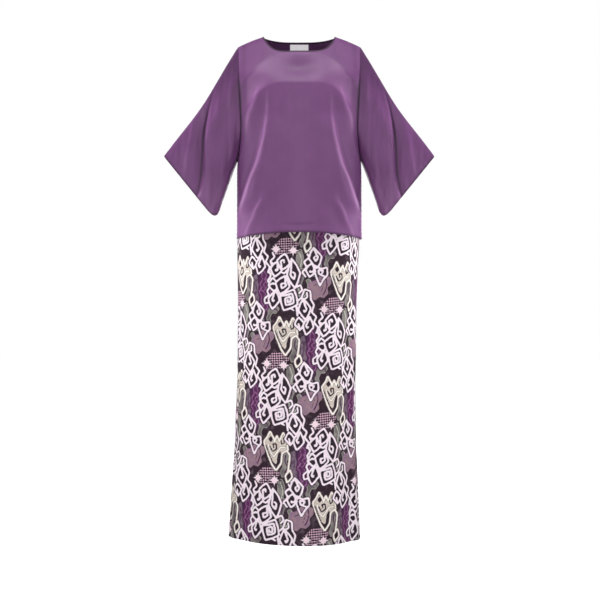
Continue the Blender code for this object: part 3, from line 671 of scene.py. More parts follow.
WEAVE = weave_group()
STITCH = {"pitch": 0.006, "half_width": 0.0009, "long": 0.6, "depth": 0.00012}
CREPE_COLOURS = {
    "deep": linear(113, 68, 117),
    "light": linear(123, 76, 127),
    # float is the colour of a painted highlight, and shade that of a painted shade
    "float": linear(189, 141, 189),
    "thread": linear(56, 25, 58),
    "shade": linear(33, 12, 35),
}


def woven(tree, place, threads, unevenness=0.8):
    """The threads' height and tone, at so many threads a metre."""
    return node(tree, "ShaderNodeGroup", node_tree=WEAVE, in_Place=place, in_Threads_per_metre=threads,
                in_Unevenness=unevenness).outputs


def toned(tree, tone, colour):
    """A colour made lighter or darker by a tone."""
    grey = node(tree, "ShaderNodeCombineColor", in_0=tone, in_1=tone, in_2=tone).outputs[0]
    return blend_colours(tree, 1.0, colour, grey, "MULTIPLY")


def crepe_finish():
    """Plum satin crepe: fine threads, faint upright streaks, darker thread in the seams, painted shade
    along the hem, and the painted highlights and painted shade stored with the cloth's points.
    """
    made, tree, shader = shader_of(
        "plum_crepe", 0.42, Sheen_Weight=0.10, Sheen_Roughness=0.4,
        Sheen_Tint=linear(205, 150, 210), Specular_IOR_Level=0.36)
    place = attribute(tree, "cloth_place", "Vector")
    # the third attribute carries the stored painted light: painted highlights above 0, painted shade
    # below
    hem, edge, folds = (attribute(tree, name) for name in ("from_hem", "from_edge", "fold_tone"))
    weave = woven(tree, place, CREPE_THREADS)
    streak_place = node(tree, "ShaderNodeMapping", in_Vector=place, in_Scale=CREPE_STREAKS)
    streaks = noise(tree, streak_place.outputs[0], 1.0, 4.0, in_Roughness=0.6)
    cloud = noise(tree, place, 14.0, 3.0)
    tone = maths(tree, "ADD", maths(tree, "MULTIPLY", streaks, 0.3), maths(tree, "MULTIPLY", cloud, 0.7))
    tone = ranged(tree, tone, 0.3, 0.7)
    colour = blend_colours(tree, tone, CREPE_COLOURS["deep"], CREPE_COLOURS["light"])
    colour = toned(tree, ranged(tree, weave["Tone"], 0.0, 1.0, 0.93, 1.05), colour)
    # the hem's dark line is broader than a seam's: there the thread's colour is a painted shade of the
    # turned edge
    seam = maths(tree, "MINIMUM", edge, maths(tree, "MULTIPLY", hem, SEAM_THREAD_AND_HEM_SHADE["hem_share"]))
    for share, name in (
        (ranged(tree, seam, SEAM_THREAD_AND_HEM_SHADE["full"], SEAM_THREAD_AND_HEM_SHADE["gone"], SEAM_THREAD_AND_HEM_SHADE["dark"], 0.0), "thread"),
        (ranged(tree, folds, 0.0, 1.0, 0.0, FOLD_SHARE["float"]), "float"),
        (ranged(tree, folds, -1.0, 0.0, FOLD_SHARE["shade"], 0.0), "shade"),
    ):
        colour = blend_colours(tree, share, colour, CREPE_COLOURS[name])
    tree.links.new(colour, shader.inputs["Base Color"])
    tree.links.new(ranged(tree, streaks, 0.3, 0.7, 0.44, 0.52), shader.inputs["Roughness"])
    # a line of blind stitches holds the turned hem
    along = node(tree, "ShaderNodeSeparateXYZ", in_0=place).outputs["X"]
    pitch = maths(tree, "SINE", maths(tree, "MULTIPLY", along, 2 * math.pi / STITCH["pitch"]))
    from_line = maths(tree, "ABSOLUTE", maths(tree, "SUBTRACT", hem, HEM_TURN["width"]))
    line = ranged(tree, from_line, 0.0, STITCH["half_width"], 1.0, 0.0)
    dimple = maths(tree, "MULTIPLY", maths(tree, "GREATER_THAN", pitch, STITCH["long"]), line)
    height = maths(tree, "SUBTRACT", maths(tree, "MULTIPLY", weave["Height"], CREPE_RELIEF["threads"]),
                   maths(tree, "MULTIPLY", dimple, STITCH["depth"]))
    height = maths(tree, "ADD", height, maths(tree, "MULTIPLY", streaks, CREPE_RELIEF["streaks"]))
    bump = node(tree, "ShaderNodeBump", in_Height=height, in_Strength=0.6, in_Distance=1.0)
    tree.links.new(bump.outputs[0], shader.inputs["Normal"])
    return made


crepe = crepe_finish()
body_grids = {side: body_grid(side) for side in ("front", "back")}

# ==== Sleeves ====================================================================================
# Wide elbow sleeves of the same crepe, set into the armholes. Each hangs from the elbow in one deep
# fold, with softer ones beside it, and ends in a narrow turned hem that slants down to the inside.
CUFF_OUTER = (0.3690, -0.3205)
CUFF_TURN = ((0.2478, -0.4701), (0.2250, -0.4972), (0.2150, -0.4600))  # the hem's rounded inner corner
CUFF_TURN_FROM = 0.86
CUFF_TIP = {"cut": 0.0040, "reach": 0.05}
CUFF_DEPTH = {"front": 0.038, "back": 0.034}
UPPER_EDGE_HOLLOW = 0.0085
ELBOW_WAY = 0.54
SLEEVE_CREASES = (
    Crease("front", -0.0115, 0.0065, 0.019, 1.0,
           ((-0.150, 0.233), (-0.200, 0.246), (-0.285, 0.259), (-0.370, 0.264), (-0.440, 0.279))),
    Crease("front", 0.0012, 0.012, 0.010, 1.0,
           ((-0.150, 0.222), (-0.200, 0.234), (-0.285, 0.246), (-0.370, 0.251), (-0.440, 0.262))),
    Crease("front", 0.0018, 0.013, 0.011, 0.9,
           ((-0.150, 0.207), (-0.280, 0.232), (-0.400, 0.240), (-0.460, 0.243))),
    Crease("front", 0.0026, 0.013, 0.015, 1.0, ((-0.220, 0.277), (-0.300, 0.291), (-0.380, 0.303))),
    Crease("front", 0.0016, 0.011, 0.011, 1.0,
           ((-0.090, 0.178), (-0.200, 0.180), (-0.300, 0.178), (-0.350, 0.185))),
    Crease("front", 0.0012, 0.007, 0.008, 0.8, ((-0.230, 0.196), (-0.330, 0.200), (-0.420, 0.214))),
    Crease("back", -0.0120, 0.007, 0.018, 1.0,
           ((-0.140, 0.228), (-0.220, 0.243), (-0.320, 0.252), (-0.430, 0.268))),
    Crease("back", 0.0060, 0.014, 0.012, 1.0, ((-0.190, 0.270), (-0.290, 0.286), (-0.360, 0.300))),
    Crease("back", 0.0060, 0.012, 0.010, 1.0, ((-0.120, 0.180), (-0.240, 0.184), (-0.340, 0.190))),
)
SLEEVE_SWAY = (
    Sway(0.00050, 38.0, 4.0, 0.8),
    Sway(0.00035, 61.0, -6.0, 2.4),
    Sway(0.00060, 15.0, 6.0, 4.2),
)
CUFF_RIPPLE = {"height": 0.0010, "pitch": 0.0205, "reach": 0.022, "uneven": 0.65, "uneven_rate": 9.0,
               "wander": 1.7, "wander_rate": 23.0, "other_hand": 1.3}
SLEEVE_RINGS = 104
SLEEVE_SQUEEZE = 0.3
SLEEVE_FADE = {"armhole": 0.08, "edge": 0.022, "hem_edge": 0.016}
CUFF_ROUNDNESS = 0.38
MITRE = {"least": 0.7, "from": -0.1, "over": 0.5}
# Painted light on the sleeve: a faint painted shade all over it, deeper near the shoulder and along the
# upper edge, and painted highlights low down and along the lower edge. A row's tone grows from z to
# z_full and from way to way_full, the share of the way up from the underarm. A row without a way holds
# all round the sleeve.
SLEEVE_PAINTED_SHADE = -0.05
SleevePaintedLight = namedtuple("SleevePaintedLight", "tone z z_full way way_full", defaults=(-1.0, 0.0))
SLEEVE_PAINTED_LIGHT = (
    SleevePaintedLight(-0.44, -0.24, -0.08),
    SleevePaintedLight(0.34, -0.35, -0.45),
    SleevePaintedLight(-0.22, -0.38, -0.29, 0.45, 0.75),
    SleevePaintedLight(0.24, -0.29, -0.34, 0.24, 0.06),
)


def armhole_ring(grids):
    """The +X armhole as a ring, from the underarm up the front to the shoulder and down the back."""
    front, back = (grids[side]["points"][BODY_ROWS:, -1] for side in ("front", "back"))
    front_normals, back_normals = (grids[side]["normals"][BODY_ROWS:, -1] for side in ("front", "back"))
    ring = np.concatenate([front, back[-2:0:-1]])
    normals = np.concatenate([front_normals, back_normals[-2:0:-1]])
    ring[[0, ARMHOLE_ROWS], 1] = 0.0
    return ring, normals


def cuff_ring(down):
    """The sleeve's hem, at each point's share of the way down it from the outer to the inner corner."""
    outer, (start, corner, end) = np.array(CUFF_OUTER), np.array(CUFF_TURN)
    straight = np.clip(down / CUFF_TURN_FROM, 0.0, 1.0)[:, None]
    turn = np.clip((down - CUFF_TURN_FROM) / (1 - CUFF_TURN_FROM), 0.0, 1.0)[:, None]
    rounded = start * (1 - turn) ** 2 + corner * 2 * turn * (1 - turn) + end * turn**2
    place = np.where(turn > 0, rounded, outer + (start - outer) * straight)
    place[:, 0] -= CUFF_TIP["cut"] * np.clip(1 - down / CUFF_TIP["reach"], 0.0, 1.0) ** 2
    depth = (4 * np.clip(down * (1 - down), 0.0, 1.0)) ** CUFF_ROUNDNESS
    on_front = np.arange(len(down)) <= ARMHOLE_ROWS
    y = np.where(on_front, -CUFF_DEPTH["front"], CUFF_DEPTH["back"]) * depth
    return np.stack([place[:, 0], y, place[:, 1]], axis=-1)


def grid_normals(grid):
    """Normals of a grid of closed rings, pointing away from the rings' middles."""
    along = np.gradient(grid, axis=0)
    around = np.roll(grid, -1, axis=1) - np.roll(grid, 1, axis=1)
    normals = unit(np.cross(around, along))
    outward = grid - grid.mean(axis=1, keepdims=True)
    return normals if (normals * outward).sum() > 0 else -normals


def sleeve_grid(grids, hand):
    """Outer points of one sleeve, built on the +X side, a row for each ring from armhole to cuff.
    hand is -1 for the wearer's right sleeve, whose creases differ a little."""
    ring, body_side_normals = armhole_ring(grids)
    down = (ring[ARMHOLE_ROWS, 2] - ring[:, 2]) / (ring[ARMHOLE_ROWS, 2] - ring[0, 2])
    cuff = cuff_ring(down)
    out = closing_in(SLEEVE_RINGS, 1.0, 0.0, SLEEVE_SQUEEZE)[::-1, None]
    grid = ring + (cuff - ring) * out[..., None]

    # the upper edge dips in near the elbow, less and less further down the sleeve
    upper = unit(cuff[ARMHOLE_ROWS] - ring[ARMHOLE_ROWS])
    inward = np.array([upper[2], 0.0, -upper[0]])
    hollow = np.where(out < ELBOW_WAY, ease(out / ELBOW_WAY), ease((1 - out) / (1 - ELBOW_WAY)))
    grid = grid + (UPPER_EDGE_HOLLOW * hollow * (1 - down) ** 2)[..., None] * inward

    # creases move the front and back faces, and fade at the armhole and along the sleeve's two edges
    half_depth = np.abs(grid[..., 1])
    along, around = lengths_along(grid, 0), lengths_along(grid, 1)
    to_cuff = along[-1:] - along
    for side, sign in SIDE_SIGN.items():
        here = grid[..., 1] * sign > 0
        x, z = grid[..., 0], grid[..., 2]
        relief = crease_relief(SLEEVE_CREASES, side, hand * x, z) + sway(SLEEVE_SWAY, hand * x, z)
        relief *= ease(out / SLEEVE_FADE["armhole"]) * ease(half_depth / SLEEVE_FADE["edge"])
        grid[..., 1] += np.where(here, sign * relief, 0.0)

    normals = grid_normals(grid)
    wander = CUFF_RIPPLE["wander"] * np.sin(around * CUFF_RIPPLE["wander_rate"] + hand)
    ripple = np.sin(around * 2 * math.pi / CUFF_RIPPLE["pitch"] + wander)
    swell = np.sin(around * CUFF_RIPPLE["uneven_rate"] + CUFF_RIPPLE["other_hand"] * hand) ** 2
    uneven = 1 - CUFF_RIPPLE["uneven"] + CUFF_RIPPLE["uneven"] * swell
    fine = CUFF_RIPPLE["height"] * ripple * uneven * np.exp(-to_cuff / CUFF_RIPPLE["reach"])
    fine *= ease(half_depth / SLEEVE_FADE["hem_edge"])
    fine += seam_relief(along, around) * ease(along / SEAM_SINK["start"])
    fine += hem_relief(to_cuff)
    grid = grid + (fine * ease(along / EDGE_REACH))[..., None] * normals

    # Where it is sewn to the body, both walls share one mitred direction, so that they stay parallel.
    # Near the underarm, where the two fold back on each other, each keeps its own.
    normals = grid_normals(grid)
    agreement = (body_side_normals * normals[0]).sum(axis=-1, keepdims=True)
    mitre = unit(body_side_normals + normals[0])
    tangent = unit(np.roll(ring, -1, axis=0) - np.roll(ring, 1, axis=0))
    away = unit(np.cross(tangent, mitre))
    away *= np.sign((away * (cuff - ring)).sum(axis=-1, keepdims=True))
    grid[0] = ring + SEAM_GAP * away
    mitre = mitre / np.clip((mitre * normals[0]).sum(axis=-1, keepdims=True), MITRE["least"], 1.0)
    sharing = ease((agreement - MITRE["from"]) / MITRE["over"])
    body_edge = body_side_normals + (mitre - body_side_normals) * sharing
    normals[0] += (mitre - normals[0]) * sharing
    flat = np.stack([around - around[:, ARMHOLE_ROWS : ARMHOLE_ROWS + 1], to_cuff], axis=-1)
    # painted light of the sleeve: the creases' painted highlights and shade, the rows of painted shade
    # and highlights above, and painted shade in the armhole seam
    sides = [fold_tone(SLEEVE_CREASES, side, hand * grid[..., 0], grid[..., 2]) for side in SIDE_SIGN]
    tone = np.where(grid[..., 1] < 0, *sides) * ease(half_depth / SLEEVE_FADE["edge"]) + SLEEVE_PAINTED_SHADE
    ways = np.arange(2 * ARMHOLE_ROWS) / ARMHOLE_ROWS
    way = np.minimum(ways, 2.0 - ways)
    for sleeve_light in SLEEVE_PAINTED_LIGHT:
        beside = ease((way - sleeve_light.way) / (sleeve_light.way_full - sleeve_light.way))
        tone += sleeve_light.tone * beside * ease((grid[..., 2] - sleeve_light.z) / (sleeve_light.z_full - sleeve_light.z))
    tone += armhole_painted_shade(along, way)
    return {"points": grid, "normals": normals, "flat": flat, "hem": to_cuff, "edge": along,
            "tone": tone, "body_edge": body_edge}


def share_armhole(grids, directions):
    """Gives both body panels the sleeve seam's directions along their armhole edges."""
    flip = np.array([-1.0, 1.0, 1.0])
    edges = {
        "front": directions[: ARMHOLE_ROWS + 1],
        "back": np.concatenate([directions[:1], directions[: ARMHOLE_ROWS - 1 : -1]]),
    }
    for side, edge in edges.items():
        grids[side]["normals"][BODY_ROWS:, -1] = edge
        grids[side]["normals"][BODY_ROWS:, 0] = edge * flip


sleeve_grids = {"left": sleeve_grid(body_grids, 1), "right": sleeve_grid(body_grids, -1)}
share_armhole(body_grids, sleeve_grids["left"]["body_edge"])
# the body panels are closed only now, because the armhole seam gives both walls one direction
for side, grid in body_grids.items():
    panel = cloth_wall(
        f"baju_{side}_panel", grid["points"], grid["points"] - CLOTH * grid["normals"], crepe,
        cloth_place=grid["flat"], from_hem=grid["hem"], from_edge=grid["edge"], fold_tone=grid["tone"])
    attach(panel, "root")
    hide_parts(f"baju_{side}")
for hand, grid in sleeve_grids.items():
    turned = np.array([1.0 if hand == "left" else -1.0, 1.0, 1.0])
    points, inside = grid["points"] * turned, (grid["points"] - CLOTH * grid["normals"]) * turned
    sleeve = cloth_wall(
        f"baju_{hand}_sleeve", points, inside, crepe, ring=True,
        cloth_place=grid["flat"], from_hem=grid["hem"], from_edge=grid["edge"], fold_tone=grid["tone"])
    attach(sleeve, "root")
    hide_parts(f"baju_sleeve_{hand}")

# ==== Neck binding ===============================================================================
# A narrow strip of dark plum cloth, cut on the bias so that it follows the curve. It is folded over
# the neck edge and stitched down all round.
BINDING_WIDTH = 0.0045
BINDING_PROUD = 0.0004
BINDING_ROWS = 8
BINDING_CROWN = {"edge": 0.4, "swell": 1.6, "power": 0.6}
BINDING_ROUND_FROM = 0.72


def neck_ring(grids):
    """The neck edge as a ring: outer points, wall directions and the way towards the opening."""
    front, back = grids["front"], grids["back"]
    inner = slice(SHOULDER_COLUMNS, -SHOULDER_COLUMNS)
    edge = np.concatenate([front["points"][-1, inner], back["points"][-1, inner][-2:0:-1]])
    normals = np.concatenate([front["normals"][-1, inner], back["normals"][-1, inner][-2:0:-1]])
    for corner in (0, NECK_COLUMNS["front"]):
        edge[corner, 1] = 0.0
    tangent = unit(np.roll(edge, -1, axis=0) - np.roll(edge, 1, axis=0))
    opening = unit(np.cross(tangent, normals))
    opening *= np.sign((opening * (edge.mean(axis=0) - edge)).sum(axis=-1, keepdims=True))
    return edge, normals, opening


def binding_grids(grids):
    """Outer and inner grids of the binding: a rounded band over the neck edge."""
    edge, normals, opening = neck_ring(grids)
    steps = np.linspace(0, 1, BINDING_ROWS + 1)
    across = (SEAM_GAP + BINDING_WIDTH * steps)[:, None, None]
    swell = BINDING_CROWN["swell"] * np.sin(steps * math.pi) ** BINDING_CROWN["power"]
    crown = (BINDING_PROUD * (BINDING_CROWN["edge"] + swell))[:, None, None]
    turn = np.maximum(steps - BINDING_ROUND_FROM, 0) / (1 - BINDING_ROUND_FROM)
    rounding = CLOTH / 2 * (1 - np.sqrt(np.clip(1 - turn**2, 0, 1)))
    rounding = rounding[:, None, None]
    outer = edge + opening * across + normals * (crown - rounding)
    inner = edge + opening * across - normals * (CLOTH + crown - rounding)
    return outer, inner


def trim_finish(name, roughness, threads, tones, relief, unevenness=0.8, turn=0.0, painted_glow=False,
                **values):
    """A trimming's cloth: one thread in two tones, woven straight along the piece or at a turn to it."""
    made, tree, shader = shader_of(name, roughness, **values)
    place = attribute(tree, "cloth_place", "Vector")
    if turn:
        place = node(tree, "ShaderNodeMapping", in_Vector=place, in_Rotation=(0.0, 0.0, turn)).outputs[0]
    weave = woven(tree, place, threads, unevenness)
    colour = blend_colours(tree, weave["Tone"], *tones)
    # with a painted glow, the cloth's colour also feeds its emission, so that it shines as if lit
    for socket in ("Base Color", "Emission Color") if painted_glow else ("Base Color",):
        tree.links.new(colour, shader.inputs[socket])
    bump = node(tree, "ShaderNodeBump", in_Height=weave["Height"], in_Strength=0.5, in_Distance=relief)
    tree.links.new(bump.outputs[0], shader.inputs["Normal"])
    return made


bias = trim_finish(
    "plum_binding", 0.6, 2000.0, (linear(42, 18, 44), linear(70, 34, 72)), 0.00012, turn=math.pi / 4,
    Sheen_Weight=0.2, Sheen_Roughness=0.4)
outer, inner = binding_grids(body_grids)
around, over = lengths_along(outer, 1), lengths_along(outer, 0)
binding = cloth_wall("neck_binding", outer, inner, bias, ring=True,
                     cloth_place=np.stack([around, over], axis=-1))
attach(binding, "root")
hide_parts("baju_neck_binding")

# ==== Neck label =================================================================================
# A small white woven ribbon inside the back neck. Its top edge is sewn on under the binding, and it
# is left blank.
LABEL_WIDTH, LABEL_DROP, LABEL_THICK = 0.050, 0.021, 0.0008
LABEL_CLEARANCE = 0.0005
LABEL_TOP = 0.0015
LABEL_ROWS, LABEL_COLUMNS = 22, 50


def label_grids(grids):
    """The label lies on the inside of the back, on the panel's own points moved inwards."""
    points, normals = grids["back"]["points"], grids["back"]["normals"]
    inside = points - (CLOTH + LABEL_CLEARANCE) * normals
    middle = inside.shape[1] // 2
    rise = inside[::-1, middle]
    climbed = np.concatenate([[0.0], np.cumsum(np.linalg.norm(np.diff(rise, axis=0), axis=-1))])
    places = LABEL_TOP + LABEL_DROP * np.linspace(0, 1, LABEL_ROWS + 1)
    rows = len(climbed) - 1 - np.interp(places, climbed, np.arange(len(climbed)))
    columns = np.interp(np.linspace(-0.5, 0.5, LABEL_COLUMNS + 1) * LABEL_WIDTH, inside[-1, :, 0],
                        np.arange(inside.shape[1]))

    def on_facets(grid):
        low = np.floor(rows).astype(int)
        part = (rows - low)[:, None, None]
        lower = grid[low] * (1 - part) + grid[np.minimum(low + 1, len(grid) - 1)] * part
        left = np.floor(columns).astype(int)
        part = (columns - left)[None, :, None]
        return lower[:, left] * (1 - part) + lower[:, np.minimum(left + 1, grid.shape[1] - 1)] * part

    face, direction = on_facets(inside), on_facets(normals)
    return face, face - LABEL_THICK * direction


# fine crosswise ribs, and a painted glow: the label's white also lights it from within, against the
# back neck's shade
ribbon = trim_finish(
    "white_ribbon", 0.5, 1600.0, (linear(228, 222, 226), linear(250, 247, 249)), 0.0001, unevenness=0.7,
    painted_glow=True, Sheen_Weight=0.3, Emission_Strength=0.50)
face, shown = label_grids(body_grids)
label_place = np.stack([lengths_along(face, 1), lengths_along(face, 0)], axis=-1)
label = cloth_wall("neck_label", face, shown, ribbon, cloth_place=label_place)
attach(label, "root")
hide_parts("baju_neck_label")

# ==== Skirt ======================================================================================
# A long straight tube of printed batik in two panels, sewn at the sides and hung from an elastic
# band under the blouse. It flares a little to the hem and hangs in a few soft upright folds.
SkirtSection = namedtuple("SkirtSection", "down half_width front back shift")
SKIRT_SECTIONS = (
    SkirtSection(0.000, 0.1240, 0.096, 0.088, 0.0000),
    SkirtSection(0.055, 0.1430, 0.104, 0.097, 0.0005),
    SkirtSection(0.115, 0.1600, 0.109, 0.105, 0.0015),
    SkirtSection(0.165, 0.1656, 0.111, 0.110, 0.0026),
    SkirtSection(0.345, 0.1612, 0.112, 0.114, 0.0055),
    SkirtSection(0.530, 0.1605, 0.114, 0.116, 0.0075),
    SkirtSection(0.715, 0.1645, 0.117, 0.119, 0.0105),
    SkirtSection(0.850, 0.1710, 0.122, 0.124, 0.0115),
    SkirtSection(1.000, 0.1785, 0.130, 0.131, 0.0130),
)
WAIST_Z = -0.387
SKIRT_HEM_Z = -1.3515
SKIRT_HEM_TILT = 0.0040
SKIRT_HEM_DIP = {"front": 0.0085, "back": 0.0050}
SkirtFold = namedtuple("SkirtFold", "side angle height half_angle top swing")
SKIRT_FOLDS = (
    SkirtFold("front", 60.0, -0.0060, 10.0, 0.18, -5.0),
    SkirtFold("front", 77.0, 0.0045, 9.0, 0.22, -3.0),
    SkirtFold("front", 20.0, 0.0035, 14.0, 0.48, 4.0),
    SkirtFold("front", -68.0, 0.0050, 11.0, 0.43, -4.0),
    SkirtFold("front", -46.0, -0.0040, 12.0, 0.58, -3.0),
    SkirtFold("front", 66.0, -0.0042, 3.6, 0.12, -3.0),
    SkirtFold("front", 73.5, -0.0030, 2.8, 0.30, 1.5),
    SkirtFold("front", -74.0, -0.0034, 3.2, 0.16, 2.0),
    SkirtFold("back", 0.0, -0.0065, 12.0, 0.20, 3.0),
    SkirtFold("back", 58.0, -0.0034, 3.6, 0.22, 3.0),
    SkirtFold("back", -71.0, -0.0036, 3.2, 0.14, 2.0),
    SkirtFold("back", 36.0, 0.0055, 12.0, 0.28, -5.0),
    SkirtFold("back", -33.0, 0.0055, 12.0, 0.32, 4.0),
    SkirtFold("back", 66.0, -0.0050, 10.0, 0.38, -3.0),
    SkirtFold("back", -62.0, -0.0050, 11.0, 0.48, 4.0),
)
SKIRT_ROWS, SKIRT_COLUMNS = 420, 196
SKIRT_INSIDE_STEP = 14  # one inner row for this many outer ones
SKIRT_FOLD_START = 3


def skirt(side, across, down):
    """The skirt's outer face. across runs from -1 to 1 between the side seams."""
    across, down = np.broadcast_arrays(np.asarray(across, float), np.asarray(down, float))
    steps = column(SKIRT_SECTIONS, "down")
    turn = across * QUARTER_TURN
    relief = np.zeros(down.shape)
    for fold in SKIRT_FOLDS:
        if fold.side != side:
            continue
        drop = np.clip((down - fold.top) / (1 - fold.top), 0.0, 1.0)
        middle = fold.angle + fold.swing * drop
        place = np.exp(-(((np.degrees(turn) - middle) / fold.half_angle) ** 2))
        relief += fold.height * np.sqrt(drop) * ease(drop * SKIRT_FOLD_START) * place
    relief *= 1 - np.abs(across) ** SEAM_FADE["side_power"]
    depth = smooth(steps, column(SKIRT_SECTIONS, side), down) + relief
    half = smooth(steps, column(SKIRT_SECTIONS, "half_width"), down) + relief
    x = half * np.sin(turn) - smooth(steps, column(SKIRT_SECTIONS, "shift"), down)
    y = SIDE_SIGN[side] * (depth * np.abs(np.cos(turn)) ** BOXINESS + SEAM_GAP / 2)
    hem = SKIRT_HEM_Z - SKIRT_HEM_TILT * np.sin(turn) - SKIRT_HEM_DIP[side] * np.cos(turn) ** 2
    return np.stack([x, y, WAIST_Z + (hem - WAIST_Z) * down], axis=-1)


def skirt_grid(side):
    rows, columns = np.linspace(0, 1, SKIRT_ROWS + 1), np.linspace(-1, 1, SKIRT_COLUMNS + 1)
    down, across = np.meshgrid(rows, columns, indexing="ij")
    normals = normals_of(lambda u, v: skirt(side, u, v), across, down, (-1.0, 1.0), (0.0, 1.0))
    points = skirt(side, across, down)
    over_cloth, down_cloth = lengths_along(points, 1), lengths_along(points, 0)
    middle = over_cloth[:, SKIRT_COLUMNS // 2, None]
    flat = np.stack([over_cloth - middle, down_cloth], axis=-1)
    edge = np.minimum(over_cloth, over_cloth[:, -1:] - over_cloth)
    return {"points": points, "normals": normals * SIDE_SIGN[side], "flat": flat,
            "hem": down_cloth[-1:] - down_cloth, "edge": edge}


# steps of the repeat on the flat cloth, in millimetres: across and down
REPEAT = np.array([[-21.0, 304.0], [153.0, -145.0]])
CHART_SIZE = (380, 264)  # samples along the two steps
MILLIMETRES = 1000  # in a metre
FAR = 1e3  # farther than any ink, in millimetres
HALO = 1.7  # dark edge left round a motif
INK_REACH = {"star": 1.3, "cream": 1.0, "moss": -2.2}  # past a motif's edge, or short of it
CORNER_CUT = 0.12
WINDING = 9.4  # from one turn of a scroll to the next, across
SCROLL_HOOK = {"start": 0.86, "pace": 0.9, "least": 0.10}
SCROLL_SIDE = 0.77  # how far out the middle of a scroll's side lies
SCROLL_WOBBLE = (0.07, 0.05)

Motif = namedtuple("Motif", "x y")
Scroll = namedtuple("Scroll", "ink half x y wide tall lean start hand")
Line = namedtuple("Line", "ink half points")
Patch = namedtuple("Patch", "ink points")

